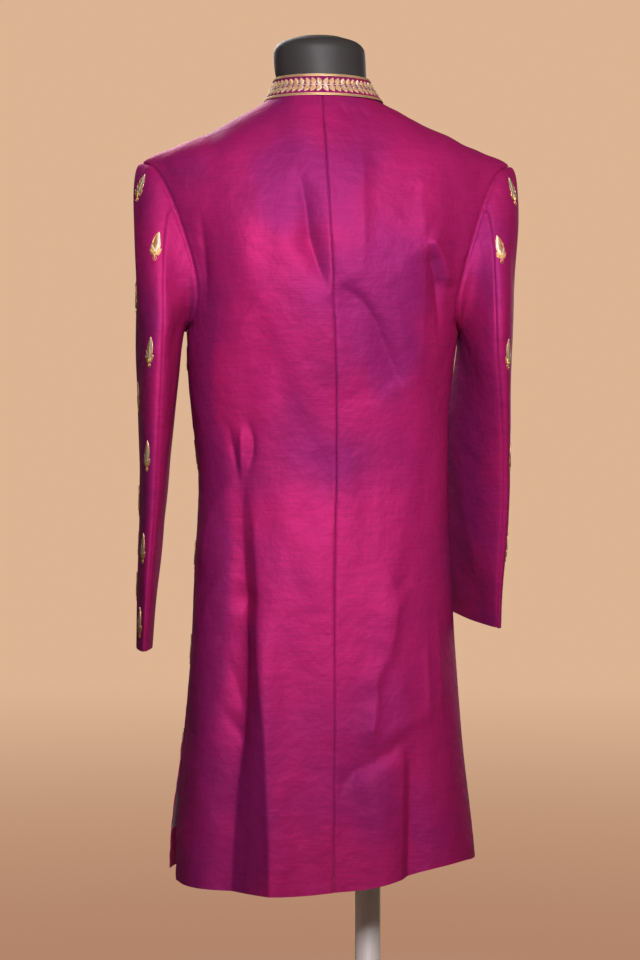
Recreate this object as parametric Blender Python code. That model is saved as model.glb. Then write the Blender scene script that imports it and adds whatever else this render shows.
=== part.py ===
"""A raw-silk sherwani coat on a limbless dress form with a pole stand.

The coat faces -Y, its wearer's left is +X and +Z is up; metres. The origin is on the
floor under the middle of the coat. Every cloth piece is a closed wall between an outer
sheet of points and the same sheet moved inwards by the cloth's thickness.
"""

import math

import bmesh
import bpy
import numpy as np

# ---- Driving sizes -------------------------------------------------------------------
CLOTH = 0.0020            # silk, interlining and lining together
SEAM_GAP = 0.0003         # daylight left between two pieces that are sewn together
NECK_HEIGHT = 1.511       # back and sides of the neck seam
FRONT_NECK_DROP = 0.060   # how much lower the neck seam is at the centre front
SHOULDER_HEIGHT = 1.431   # shoulder point, where the sleeve is set in
UNDERARM_HEIGHT = 1.212
SLIT_TOP = 0.690          # side slits are open below this
HEM_CORNER = 0.192        # half width of the hem, from corner to middle
FRONT_FLARE = 0.007       # how far the left front spreads past the back at the hem
FRONT_LAP = 0.022         # each front passes the centre line by this much
LAP_STEP = CLOTH + 0.0010 # how far the right front lies under the left one

YOKE_ROWS = 5             # mesh rows from the neck seam to the shoulder point
ARMHOLE_ROWS = 9          # rows down one side of an armhole
SIDE_ROWS = 16            # rows from the underarm to the hem
PANEL_COLUMNS = 12        # columns from the centre to the side seam
SLEEVE_BACK_SEAM = 3      # armhole row where the sleeve's back seam starts
SLEEVE_FRONT_SEAM = 7     # and its front seam, both counted down from the shoulder
CUFF_ROWS = 12            # sleeve rows from the upper arm to the cuff
LAP_RUN = 0.035           # over this width the right front sinks under the left one
FORM_SIDES = 32           # points round a ring of the dress form
SHARP_ANGLE = math.radians(40)

# ---- Short tables --------------------------------------------------------------------
# height, middle x of the back, half width left, half width right, depth of back, depth of front
BODY = (
    (1.511, 0.008, 0.0785, 0.0750, 0.062, 0.066),
    (1.502, 0.008, 0.0915, 0.0880, 0.067, 0.074),
    (1.489, 0.008, 0.1160, 0.1160, 0.074, 0.083),
    (1.476, 0.008, 0.1395, 0.1410, 0.081, 0.090),
    (1.463, 0.007, 0.1660, 0.1690, 0.087, 0.096),
    (1.450, 0.007, 0.1990, 0.2050, 0.092, 0.102),
    (1.431, 0.006, 0.2370, 0.2420, 0.099, 0.108),
    (1.380, 0.004, 0.2050, 0.2120, 0.112, 0.118),
    (1.300, 0.001, 0.1850, 0.1850, 0.122, 0.128),
    (1.212, -0.003, 0.1800, 0.1740, 0.119, 0.128),
    (1.163, -0.005, 0.1790, 0.1670, 0.113, 0.122),
    (1.100, -0.006, 0.1730, 0.1600, 0.105, 0.114),
    (1.030, -0.006, 0.1650, 0.1580, 0.101, 0.110),
    (0.970, -0.005, 0.1655, 0.1600, 0.105, 0.113),
    (0.900, -0.003, 0.1695, 0.1640, 0.113, 0.120),
    (0.800, -0.002, 0.1740, 0.1700, 0.124, 0.130),
    (0.700, -0.001, 0.1830, 0.1770, 0.133, 0.138),
    (0.600, 0.000, 0.1920, 0.1870, 0.140, 0.144),
    (0.500, 0.001, 0.1950, 0.1960, 0.146, 0.149),
)
# share of the way down, out from the middle, depth of back edge, depth of front edge, drop
ARMHOLE = (
    (0.00, 1.000, 0.000, 0.000, 0.000),
    (0.11, 0.940, 0.024, 0.025, 0.045),
    (0.22, 0.880, 0.041, 0.044, 0.150),
    (0.36, 0.815, 0.054, 0.060, 0.320),
    (0.58, 0.735, 0.062, 0.070, 0.600),
    (0.76, 0.702, 0.058, 0.068, 0.800),
    (0.90, 0.716, 0.036, 0.042, 0.935),
    (1.00, 0.746, 0.000, 0.000, 1.000),
)
# height, slit edge of the back, slit edge of the front (depths from the side line)
SLIT = (
    (SLIT_TOP, 0.000, 0.000),
    (0.640, 0.006, 0.008),
    (0.580, 0.017, 0.020),
    (0.500, 0.030, 0.034),
)
# across the coat, height of the hem
FRONT_HEM = (
    (-0.190, 0.540),
    (-0.100, 0.528),
    (0.000, 0.514),
    (0.190, 0.512),
)
BACK_HEM = (
    (-0.199, 0.533),
    (-0.164, 0.536),
    (-0.124, 0.531),
    (-0.090, 0.522),
    (-0.045, 0.512),
    (0.000, 0.508),
    (0.056, 0.504),
    (0.192, 0.507),
)
# x and height of the upper end, x and height of the lower end, width and depth at each
# end (a depth below zero is a trough), fade at the upper end, fade at the lower end
BACK_FOLDS = (
    (0.036, 1.405, 0.030, 1.320, 0.016, 0.016, -0.0020, -0.0030, 0.3, 0.0),
    (0.030, 1.320, 0.004, 1.255, 0.016, 0.014, -0.0030, -0.0020, 0.0, 0.5),
    (-0.006, 1.270, -0.098, 1.140, 0.018, 0.018, -0.0025, -0.0030, 0.3, 0.3),
    (0.112, 1.400, 0.118, 1.230, 0.030, 0.034, 0.0030, 0.0050, 0.4, 0.5),
    (-0.118, 1.380, -0.112, 1.250, 0.024, 0.024, 0.0030, 0.0040, 0.4, 0.5),
    (0.114, 1.040, 0.112, 0.870, 0.012, 0.016, -0.0030, -0.0060, 0.3, 0.0),
    (0.112, 0.870, 0.130, 0.500, 0.016, 0.028, -0.0060, -0.0130, 0.0, 0.0),
    (0.092, 0.960, 0.080, 0.500, 0.018, 0.026, 0.0020, 0.0070, 0.4, 0.0),
    (0.160, 0.920, 0.166, 0.500, 0.022, 0.024, 0.0020, 0.0060, 0.4, 0.0),
    (-0.092, 0.860, -0.036, 0.690, 0.018, 0.024, -0.0025, -0.0025, 0.4, 0.4),
    (-0.094, 0.740, -0.100, 0.500, 0.016, 0.022, -0.0020, -0.0070, 0.5, 0.0),
    (-0.058, 0.760, -0.062, 0.500, 0.020, 0.026, 0.0010, 0.0040, 0.5, 0.0),
    (-0.140, 0.740, -0.150, 0.500, 0.026, 0.030, 0.0020, 0.0060, 0.5, 0.0),
)
FRONT_FOLDS = (
    (0.085, 1.400, 0.060, 1.220, 0.022, 0.026, -0.0030, -0.0050, 0.4, 0.4),
    (-0.090, 1.390, -0.070, 1.230, 0.022, 0.026, -0.0030, -0.0045, 0.4, 0.4),
    (0.100, 1.090, 0.040, 1.010, 0.018, 0.018, -0.0030, -0.0030, 0.4, 0.4),
    (-0.110, 1.080, -0.050, 1.000, 0.018, 0.018, -0.0030, -0.0030, 0.4, 0.4),
    (0.095, 0.900, 0.105, 0.500, 0.022, 0.032, -0.0030, -0.0120, 0.3, 0.0),
    (-0.090, 0.880, -0.110, 0.500, 0.022, 0.032, -0.0030, -0.0100, 0.3, 0.0),
    (0.052, 0.820, 0.062, 0.500, 0.024, 0.028, 0.0020, 0.0060, 0.4, 0.0),
    (-0.140, 0.800, -0.150, 0.500, 0.024, 0.028, 0.0020, 0.0060, 0.4, 0.0),
)
# height, middle x, middle y, half length, half thickness, turn in degrees, lift at front
LEFT_SLEEVE = (
    (1.170, 0.2170, 0.002, 0.0870, 0.0275, 0.0, 0.000),
    (1.110, 0.2195, 0.001, 0.0855, 0.0235, 0.0, 0.001),
    (1.050, 0.2220, -0.003, 0.0830, 0.0200, 0.0, 0.002),
    (0.970, 0.2255, -0.010, 0.0790, 0.0170, 0.0, 0.003),
    (0.880, 0.2315, -0.017, 0.0745, 0.0125, 0.0, 0.004),
    (0.805, 0.2355, -0.022, 0.0700, 0.0095, 0.0, 0.004),
)
RIGHT_SLEEVE = (
    (1.170, 0.2095, -0.012, 0.0860, 0.0270, 8.0, 0.000),
    (1.110, 0.2060, -0.030, 0.0850, 0.0245, 16.0, 0.001),
    (1.050, 0.2040, -0.050, 0.0830, 0.0225, 22.0, 0.003),
    (0.970, 0.2050, -0.070, 0.0790, 0.0200, 24.0, 0.005),
    (0.890, 0.2075, -0.087, 0.0730, 0.0165, 22.0, 0.008),
    (0.833, 0.2125, -0.099, 0.0670, 0.0130, 19.0, 0.010),
)
# height, half width, half depth, middle x of the dress form's neck and its domed top
FORM_NECK = (
    (1.502, 0.0585, 0.0455, 0.0040),
    (1.520, 0.0586, 0.0455, 0.0042),
    (1.541, 0.0588, 0.0455, 0.0045),
    (1.552, 0.0596, 0.0460, 0.0058),
    (1.572, 0.0598, 0.0465, 0.0070),
    (1.582, 0.0578, 0.0452, 0.0074),
    (1.590, 0.0488, 0.0385, 0.0076),
    (1.596, 0.0300, 0.0235, 0.0076),
)
# mesh row, how the rows are rounded: 1 is an ellipse, more is pinched, less is squarer
ROUNDNESS = (
    (0, 1.00),
    (3, 1.16),
    (5, 1.22),
    (7, 1.13),
    (9, 1.00),
    (12, 0.88),
    (30, 0.84),
)
# height, how far the form's chest stands forward under the dropped front of the neck
FORM_CHEST = (
    (1.490, 0.046),
    (1.466, 0.050),
    (1.452, 0.055),
    (1.438, 0.064),
    (1.420, 0.078),
    (1.395, 0.094),
    (1.360, 0.106),
)

# height, how the form's rings are rounded, in the same measure as the coat's rows
FORM_ROUNDNESS = (
    (1.300, 1.00),
    (1.365, 1.06),
    (1.400, 1.22),
    (1.431, 1.32),
    (1.470, 1.22),
    (1.500, 1.00),
)


# ---- Curves and surfaces -------------------------------------------------------------
def smooth_step(value):
    """Rise from 0 to 1 with level ends."""
    value = min(max(value, 0.0), 1.0)
    return value * value * (3.0 - 2.0 * value)


def read_table(table, key, column):
    """A column of a table at any key, on a smooth curve through its rows."""
    rows = sorted(table)
    keys = [row[0] for row in rows]
    values = [row[column] for row in rows]
    key = min(max(key, keys[0]), keys[-1])
    span = min(max(int(np.searchsorted(keys, key)) - 1, 0), len(rows) - 2)

    def slope(index):
        before = max(index - 1, 0)
        after = min(index + 1, len(rows) - 1)
        return (values[after] - values[before]) / (keys[after] - keys[before])

    width = keys[span + 1] - keys[span]
    t = (key - keys[span]) / width
    rise = values[span + 1] - values[span]
    start = values[span]
    tangent_in = slope(span) * width
    tangent_out = slope(span + 1) * width
    return (start + tangent_in * (t - 2 * t * t + t ** 3)
            + rise * (3 * t * t - 2 * t ** 3) + tangent_out * (t ** 3 - t * t))


def fold_height(folds, x, z):
    """How far the folds lift the cloth at a place on the front or back."""
    total = 0.0
    for x0, z0, x1, z1, width0, width1, depth0, depth1, fade0, fade1 in folds:
        run = np.array((x1 - x0, z1 - z0))
        reach = np.array((x - x0, z - z0))
        length = float(np.hypot(*run))
        along = float(reach @ run) / length ** 2
        across = abs(float(reach[0] * run[1] - reach[1] * run[0])) / length
        inside = min(max(along, 0.0), 1.0)
        width = width0 + (width1 - width0) * inside
        depth = depth0 + (depth1 - depth0) * inside
        beyond = abs(along - inside) * length
        if fade0:
            depth *= smooth_step(along / fade0)
        if fade1:
            depth *= smooth_step((1.0 - along) / fade1)
        total += depth * math.exp(-(across / width) ** 2 - (beyond / width) ** 2)
    return total


def row_edge(side, face, row):
    """Outer end of a mesh row: on the shoulder, down the armhole, down the side."""
    column = 2 if side > 0 else 3
    yoke_end = YOKE_ROWS
    armhole_end = YOKE_ROWS + ARMHOLE_ROWS
    if row <= yoke_end:
        height = NECK_HEIGHT + (SHOULDER_HEIGHT - NECK_HEIGHT) * row / yoke_end
        return read_table(BODY, height, column), 0.0, height
    if row <= armhole_end:
        share = (row - yoke_end) / ARMHOLE_ROWS
        height = SHOULDER_HEIGHT + (UNDERARM_HEIGHT - SHOULDER_HEIGHT) * read_table(ARMHOLE, share, 4)
        shoulder = read_table(BODY, SHOULDER_HEIGHT, column)
        underarm = read_table(BODY, UNDERARM_HEIGHT, column)
        closing = smooth_step((share - 0.58) / 0.42)
        width = shoulder * read_table(ARMHOLE, share, 1)
        width += (underarm - shoulder * ARMHOLE[-1][1]) * closing
        depth = read_table(ARMHOLE, share, 2 if face > 0 else 3)
        return width, depth, height
    share = (row - armhole_end) / SIDE_ROWS
    hem = read_table(BACK_HEM if face > 0 else FRONT_HEM, side * HEM_CORNER, 1)
    height = UNDERARM_HEIGHT + (hem - UNDERARM_HEIGHT) * share
    opening = read_table(SLIT, height, 1 if face > 0 else 2) if height < SLIT_TOP else 0.0
    width = read_table(BODY, height, column)
    if side > 0 > face:
        width += FRONT_FLARE * smooth_step((SLIT_TOP - height) / 0.16)
    return width, opening, height


def body_point(side, face, row, turn):
    """A point of the coat's body; turn runs from 0 at the centre to 1 at the row's end."""
    edge_x, edge_depth, edge_z = row_edge(side, face, row)
    centre_z = edge_z
    if face < 0:
        centre_z = edge_z - FRONT_NECK_DROP * (1.0 - smooth_step(row / (2 * YOKE_ROWS)))
    depth = read_table(BODY, edge_z, 4 if face > 0 else 5)
    roundness = read_table(ROUNDNESS, row, 1)
    end = math.acos(min((edge_depth / depth) ** (1.0 / roundness), 1.0))
    angle = end * turn
    reach = edge_x / math.sin(end) ** roundness
    x = side * math.copysign(abs(math.sin(angle)) ** roundness, angle) * reach
    y = face * depth * math.cos(angle) ** roundness
    z = centre_z + (edge_z - centre_z) * math.sin(abs(angle)) ** 1.6
    if row > YOKE_ROWS + ARMHOLE_ROWS:
        share = (row - YOKE_ROWS - ARMHOLE_ROWS) / SIDE_ROWS
        hem = BACK_HEM if face > 0 else FRONT_HEM
        z += (read_table(hem, x, 1) - read_table(hem, side * HEM_CORNER, 1)) * share
    if face > 0:
        x += read_table(BODY, z, 1) * math.cos(angle) ** 2
    return np.array((x, y, z))


def folded_point(side, face, row, turn):
    """The body's point with its folds, and the direction that points out of the cloth."""
    step = 0.02
    first_row = max(row - 10 * step, 0.0)
    last_row = min(row + 10 * step, YOKE_ROWS + ARMHOLE_ROWS + SIDE_ROWS)
    down = body_point(side, face, last_row, turn) - body_point(side, face, first_row, turn)
    across = body_point(side, face, row, min(turn + step, 1.0))
    across = across - body_point(side, face, row, min(turn + step, 1.0) - step)
    outward = np.cross(across, down) * side * face
    outward /= np.linalg.norm(outward)
    base = body_point(side, face, row, turn)
    folds = BACK_FOLDS if face > 0 else FRONT_FOLDS
    # folds die away towards the seams at the shoulder and side, and come back at a slit
    calm = 1.0 - smooth_step((turn - 0.80) / 0.20)
    lift = fold_height(folds, base[0], base[2]) * calm
    return base + outward * lift, outward


# ---- Closed walls --------------------------------------------------------------------
def wall(name, outer, inner, material):
    """A closed solid between two equal grids of points, outer and inner."""
    rows, columns = outer.shape[:2]
    mesh = bpy.data.meshes.new(name)
    builder = bmesh.new()
    skins = []
    for grid in (outer, inner):
        skins.append([[builder.verts.new(grid[r, c]) for c in range(columns)] for r in range(rows)])
    for skin, order in zip(skins, (1, -1)):
        for r in range(rows - 1):
            for c in range(columns - 1):
                corners = (skin[r][c], skin[r + 1][c], skin[r + 1][c + 1], skin[r][c + 1])
                builder.faces.new(corners[::order])
    border = [(0, c) for c in range(columns - 1)]
    border += [(r, columns - 1) for r in range(rows - 1)]
    border += [(rows - 1, c) for c in range(columns - 1, 0, -1)]
    border += [(r, 0) for r in range(rows - 1, 0, -1)]
    for (r0, c0), (r1, c1) in zip(border, border[1:] + border[:1]):
        corners = (skins[0][r0][c0], skins[0][r1][c1], skins[1][r1][c1], skins[1][r0][c0])
        builder.faces.new(corners)
    bmesh.ops.recalc_face_normals(builder, faces=builder.faces[:])
    bmesh.ops.triangulate(builder, faces=builder.faces[:])
    builder.to_mesh(mesh)
    builder.free()
    mesh.shade_smooth()
    mesh.set_sharp_from_angle(angle=SHARP_ANGLE)
    piece = bpy.data.objects.new(name, mesh)
    bpy.context.collection.objects.link(piece)
    piece.data.materials.append(material)
    return piece


def turned(name, rings, material):
    """A closed solid through a stack of rings, with a flat face over each end."""
    mesh = bpy.data.meshes.new(name)
    builder = bmesh.new()
    loops = [[builder.verts.new(point) for point in ring] for ring in rings]
    for lower, upper in zip(loops, loops[1:]):
        for i in range(len(lower)):
            j = (i + 1) % len(lower)
            builder.faces.new((lower[i], lower[j], upper[j], upper[i]))
    builder.faces.new(loops[0][::-1])
    builder.faces.new(loops[-1])
    bmesh.ops.recalc_face_normals(builder, faces=builder.faces[:])
    bmesh.ops.triangulate(builder, faces=builder.faces[:])
    builder.to_mesh(mesh)
    builder.free()
    mesh.shade_smooth()
    mesh.set_sharp_from_angle(angle=SHARP_ANGLE)
    piece = bpy.data.objects.new(name, mesh)
    bpy.context.collection.objects.link(piece)
    piece.data.materials.append(material)
    return piece


def oval(half_width, half_depth, height, middle_x=0.0, middle_y=0.0, sides=FORM_SIDES):
    """A level ring of points."""
    angles = [2 * math.pi * i / sides for i in range(sides)]
    return [(middle_x + half_width * math.cos(a), middle_y + half_depth * math.sin(a), height)
            for a in angles]


def finish(name, colour, roughness, metallic=0.0):
    """A plain material of one colour."""
    material = bpy.data.materials.new(name)
    material.use_nodes = True
    shader = material.node_tree.nodes["Principled BSDF"]
    shader.inputs["Base Color"].default_value = (*colour, 1.0)
    shader.inputs["Roughness"].default_value = roughness
    shader.inputs["Metallic"].default_value = metallic
    return material


# ---- The coat's body -----------------------------------------------------------------
def panel(side, face, silk):
    """One back or front panel; a front runs past the centre line under or over the other."""
    last_row = YOKE_ROWS + ARMHOLE_ROWS + SIDE_ROWS
    outer = np.zeros((last_row + 1, PANEL_COLUMNS + 1, 3))
    inner = np.zeros_like(outer)
    for row in range(last_row + 1):
        edge_x = row_edge(side, face, row)[0]
        lap = -0.40 * FRONT_LAP / edge_x if face < 0 else 0.0
        for column in range(PANEL_COLUMNS + 1):
            turn = lap + (1.0 - lap) * column / PANEL_COLUMNS
            point, outward = folded_point(side, face, row, turn)
            if column == PANEL_COLUMNS and not YOKE_ROWS < row < YOKE_ROWS + ARMHOLE_ROWS:
                outward[1] = 0.0
                outward /= np.linalg.norm(outward)
                point[1] += face * SEAM_GAP / 2
            if column == 0 and face > 0:
                outward[0] = 0.0
                outward /= np.linalg.norm(outward)
                point[0] += side * SEAM_GAP / 2
            if face < 0 and side < 0:
                under = 1.0 - smooth_step((-point[0] - FRONT_LAP) / LAP_RUN)
                point = point - outward * LAP_STEP * under
            outer[row, column] = point
            inner[row, column] = point - outward * CLOTH
    name = ("back_" if face > 0 else "front_") + ("left" if side > 0 else "right")
    return wall(name, outer, inner, silk)


# ---- Sleeves -------------------------------------------------------------------------
SLEEVE_TWIST = 0.115      # share of a turn by which the seams swing inwards below the armhole


def sleeve_ring(side, table, height, place):
    """A point of the sleeve's oval; place runs from the outer side over the back inwards."""
    middle_x, middle_y, length, thickness, turn, lift = (read_table(table, height, c) for c in range(1, 7))
    angle = math.radians(turn)
    backward = np.array((side * math.sin(angle), math.cos(angle), -lift / max(length, 1e-6)))
    outward = np.array((side * math.cos(angle), -math.sin(angle), 0.0))
    swing = 2 * math.pi * (place + SLEEVE_TWIST)
    middle = np.array((side * middle_x, middle_y, height))
    return middle + backward * length * math.sin(swing) + outward * thickness * math.cos(swing)


def armhole_point(side, place):
    """A point of the armhole seam, counted like a sleeve's ring."""
    face = 1 if place <= 0.5 else -1
    share = place * 2 if face > 0 else (1.0 - place) * 2
    return body_point(side, face, YOKE_ROWS + ARMHOLE_ROWS * share, 1.0)


def sleeve_point(side, table, down, place):
    """A sleeve's point; down runs 0 to 1 over the sleeve head and 1 to 2 to the cuff."""
    top = max(row[0] for row in table)
    cuff = min(row[0] for row in table)
    if down >= 1.0:
        return sleeve_ring(side, table, top + (cuff - top) * (down - 1.0), place)
    start = armhole_point(side, place)
    end = sleeve_ring(side, table, top, place)
    below = sleeve_ring(side, table, top - 0.01, place)
    chord = float(np.linalg.norm(end - start))
    leaving = np.array((side, 0.35 * math.sin(2 * math.pi * place), -0.15))
    leaving[2] += 0.25 * max(math.cos(2 * math.pi * place), 0.0)
    leaving *= 0.30 * chord
    arriving = (below - end) * chord / 0.01
    t = down
    point = (start * (2 * t ** 3 - 3 * t * t + 1) + leaving * (t ** 3 - 2 * t * t + t)
             + end * (3 * t * t - 2 * t ** 3) + arriving * (t ** 3 - t * t))
    return point


def sleeve(side, table, silk):
    """The upper and under pieces of one sleeve."""
    head_rows = (0.0, 0.06, 0.14, 0.24, 0.38, 0.55, 0.76)
    downs = list(head_rows) + [1.0 + i / CUFF_ROWS for i in range(CUFF_ROWS + 1)]
    ring = 2 * ARMHOLE_ROWS
    points = np.zeros((len(downs), ring, 3))
    for r, down in enumerate(downs):
        for c in range(ring):
            points[r, c] = sleeve_point(side, table, down, c / ring)
    outward = np.zeros_like(points)
    for r in range(len(downs)):
        for c in range(ring):
            around = points[r, (c + 1) % ring] - points[r, c - 1]
            along = points[min(r + 1, len(downs) - 1), c] - points[max(r - 1, 0), c]
            normal = np.cross(along, around) * side
            outward[r, c] = normal / np.linalg.norm(normal)
    points[0, :, 0] += side * SEAM_GAP
    front_seam = ring - SLEEVE_FRONT_SEAM
    spans = {
        "upper": [c % ring for c in range(front_seam, ring + SLEEVE_BACK_SEAM + 1)],
        "under": list(range(SLEEVE_BACK_SEAM, front_seam + 1)),
    }
    for part, columns in spans.items():
        outer = points[:, columns].copy()
        normals = outward[:, columns]
        for end, inside in ((0, 1), (-1, -2)):
            towards = outer[:, inside] - outer[:, end]
            towards -= normals[:, end] * np.sum(towards * normals[:, end], axis=1)[:, None]
            towards /= np.linalg.norm(towards, axis=1)[:, None]
            outer[:, end] += towards * SEAM_GAP / 2
        inner = outer - normals * CLOTH
        name = "sleeve_" + ("left_" if side > 0 else "right_") + part
        wall(name, outer, inner, silk)


# ---- Collar --------------------------------------------------------------------------
COLLAR_RISE = 0.030
COLLAR_IN_LEFT = 0.166    # share by which the top edge stands in from the bottom edge
COLLAR_IN_RIGHT = 0.247
COLLAR_IN_DEPTH = 0.215
COLLAR_OPENING = 0.07     # share of the front quarter left open at the centre front
COLLAR_COLUMNS = 36
COLLAR_CLOTH = 0.0016     # silk over a stiff interlining, pressed flat


def collar_point(place, rise):
    """The stand collar; place runs -1 to 1 from one front end round the back to the other."""
    side = 1 if place >= 0 else -1
    part = abs(place) * 2
    face = 1 if part <= 1 else -1
    turn = part if face > 0 else 2.0 - part
    bottom = body_point(side, face, 0, turn)
    narrowing = COLLAR_IN_LEFT if bottom[0] > 0 else COLLAR_IN_RIGHT
    return np.array((bottom[0] * (1 - narrowing * rise), bottom[1] * (1 - COLLAR_IN_DEPTH * rise),
                     bottom[2] + SEAM_GAP + COLLAR_RISE * rise))


def collar(silk):
    """The collar's band, open at the centre front."""
    rises = (0.0, 0.5, 1.0)
    limit = 1.0 - COLLAR_OPENING / 2
    outer = np.zeros((len(rises), COLLAR_COLUMNS + 1, 3))
    inner = np.zeros_like(outer)
    for r, rise in enumerate(rises):
        for c in range(COLLAR_COLUMNS + 1):
            place = -limit + 2 * limit * c / COLLAR_COLUMNS
            point = collar_point(place, rise)
            across = collar_point(place + 0.01, rise) - collar_point(place - 0.01, rise)
            up = collar_point(place, 1.0) - collar_point(place, 0.0)
            outward = np.cross(across, up)
            outward *= math.copysign(1.0, outward[0] * point[0] + outward[1] * point[1])
            outward[2] = 0.0
            outward /= np.linalg.norm(outward)
            outer[r, c] = point
            inner[r, c] = point - outward * COLLAR_CLOTH
    wall("collar", outer, inner, silk)


# ---- Buttons -------------------------------------------------------------------------
BUTTON_RADIUS = 0.0085
BUTTON_HEIGHT = 0.0065
BUTTON_CLEAR = 0.0008     # the shank's thread holds the button this far off the cloth
BUTTON_TOP = 1.418
BUTTON_PITCH = 0.070
BUTTON_COUNT = 8


def button(number, metal):
    """A domed shank button standing on the left front, over the lap."""
    height = BUTTON_TOP - BUTTON_PITCH * (number - 1)
    row = 0
    while folded_point(1, -1, row + 1, 0.0)[0][2] > height:
        row += 1
    above = folded_point(1, -1, row, 0.0)[0]
    below = folded_point(1, -1, row + 1, 0.0)[0]
    seat = above + (below - above) * (above[2] - height) / (above[2] - below[2])
    outward = np.array((0.0, below[2] - above[2], above[1] - below[1]))
    outward /= np.linalg.norm(outward)
    upward = np.cross(outward, (1.0, 0.0, 0.0))
    profile = ((0.45, 0.06), (0.50, 0.24), (0.96, 0.28), (1.0, 0.42), (0.86, 0.72), (0.50, 0.94), (0.16, 1.0))
    rings = []
    for radius, lift in profile:
        centre = seat + outward * (BUTTON_CLEAR + BUTTON_HEIGHT * lift)
        ring = []
        for i in range(12):
            angle = 2 * math.pi * i / 12
            spoke = np.array((math.cos(angle), 0.0, 0.0)) + upward * math.sin(angle)
            ring.append(tuple(centre + spoke * BUTTON_RADIUS * radius))
        rings.append(ring)
    turned(f"button_{number}", rings, metal)


# ---- Dress form and stand ------------------------------------------------------------
FORM_BOTTOM = 0.800
FORM_NECK_Y = -0.002
POLE_X = -0.056
POLE_RADIUS = 0.0165
BASE_RADIUS = 0.165
BASE_THICKNESS = 0.010
SOCKET_HEIGHT = 0.045
FORM_INSET = 0.020        # the form stands this far inside the coat below the chest
SHOULDER_INSET = 0.012    # and this far inside it at the shoulders
CHEST_HALF = 0.158        # half width of the chest under the arms
SHOULDER_SPREAD = 0.052   # how much wider the form gets towards the shoulders
FORM_HEIGHTS = (FORM_BOTTOM, 0.815, 0.86, 0.93, 1.0, 1.06, 1.12, 1.19, 1.25, 1.31, 1.36, 1.395,
                1.420, 1.438, 1.452, 1.466, 1.479, 1.490)


def form_torso(black):
    """The limbless dress form: a smooth torso inside the coat, its neck and its domed top."""
    rings = []
    for height in FORM_HEIGHTS:
        half = min(read_table(BODY, height, 2), read_table(BODY, height, 3))
        rising = smooth_step((height - 1.30) / 0.08)
        inset = FORM_INSET + (SHOULDER_INSET - FORM_INSET) * rising
        ease = 1.0
        if height > UNDERARM_HEIGHT:
            half = min(half, CHEST_HALF + SHOULDER_SPREAD * smooth_step((height - 1.33) / 0.08))
        if height < 0.82:
            ease = 0.94 if height == FORM_BOTTOM else 0.985
        half_width = (half - inset) * ease
        back = (read_table(BODY, height, 4) - inset) * ease
        front = (read_table(BODY, height, 5) - inset) * ease
        if height >= FORM_CHEST[-1][0]:
            front = read_table(FORM_CHEST, height, 1)
        roundness = read_table(FORM_ROUNDNESS, height, 1)
        ring = []
        for i in range(FORM_SIDES):
            angle = 2 * math.pi * i / FORM_SIDES
            depth = back if math.sin(angle) > 0 else front
            out = math.copysign(abs(math.cos(angle)) ** roundness, math.cos(angle))
            back_out = math.copysign(abs(math.sin(angle)) ** roundness, math.sin(angle))
            ring.append((half_width * out, depth * back_out, height))
        rings.append(ring)
    for height, half_width, half_depth, middle_x in FORM_NECK:
        rings.append(oval(half_width, half_depth, height, middle_x, FORM_NECK_Y))
    turned("form_torso", rings, black)


def stand(steel, black):
    """The pole under the form, its fittings and the round base."""
    flange_top = FORM_BOTTOM - SEAM_GAP
    bore = POLE_RADIUS + SEAM_GAP
    pole_bottom = BASE_THICKNESS + SEAM_GAP
    turned("pole", [oval(POLE_RADIUS, POLE_RADIUS, z, POLE_X, sides=24)
                    for z in (pole_bottom, flange_top)], steel)
    for name, bottom, top, wide, narrow in (
            ("form_flange", flange_top - 0.030, flange_top, 0.024, 0.045),
            ("pole_socket", pole_bottom, pole_bottom + SOCKET_HEIGHT, 0.038, 0.025)):
        outline = ((wide, bottom), (narrow, top))
        sleeve_rings = [oval(r, r, z, POLE_X, sides=24) for r, z in outline]
        sleeve_rings += [oval(bore, bore, z, POLE_X, sides=24) for z in (top, bottom)]
        ring_solid(name, sleeve_rings, steel)
    rim = ((BASE_RADIUS - 0.002, 0.0), (BASE_RADIUS, 0.002), (BASE_RADIUS, BASE_THICKNESS - 0.003),
           (BASE_RADIUS - 0.003, BASE_THICKNESS))
    turned("base_plate", [oval(r, r, z, POLE_X, sides=48) for r, z in rim], black)


def ring_solid(name, rings, material):
    """A closed solid whose rings join back to the first, such as a bush round a pole."""
    mesh = bpy.data.meshes.new(name)
    builder = bmesh.new()
    loops = [[builder.verts.new(point) for point in ring] for ring in rings]
    for lower, upper in zip(loops, loops[1:] + loops[:1]):
        for i in range(len(lower)):
            j = (i + 1) % len(lower)
            builder.faces.new((lower[i], lower[j], upper[j], upper[i]))
    bmesh.ops.recalc_face_normals(builder, faces=builder.faces[:])
    bmesh.ops.triangulate(builder, faces=builder.faces[:])
    builder.to_mesh(mesh)
    builder.free()
    mesh.shade_smooth()
    mesh.set_sharp_from_angle(angle=SHARP_ANGLE)
    piece = bpy.data.objects.new(name, mesh)
    bpy.context.collection.objects.link(piece)
    piece.data.materials.append(material)


# ---- Build ---------------------------------------------------------------------------
for old in list(bpy.data.objects):
    bpy.data.objects.remove(old, do_unlink=True)

magenta_silk = finish("magenta_silk", (0.36, 0.02, 0.17), 0.45)
gold_metal = finish("gold_metal", (0.72, 0.48, 0.20), 0.35, 1.0)
black_plastic = finish("black_plastic", (0.012, 0.012, 0.014), 0.35)
brushed_steel = finish("brushed_steel", (0.45, 0.44, 0.43), 0.35, 1.0)

for side in (1, -1):
    for face in (1, -1):
        panel(side, face, magenta_silk)
sleeve(1, LEFT_SLEEVE, magenta_silk)
sleeve(-1, RIGHT_SLEEVE, magenta_silk)
collar(magenta_silk)
for number in range(1, BUTTON_COUNT + 1):
    button(number, gold_metal)
form_torso(black_plastic)
stand(brushed_steel, black_plastic)
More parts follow.
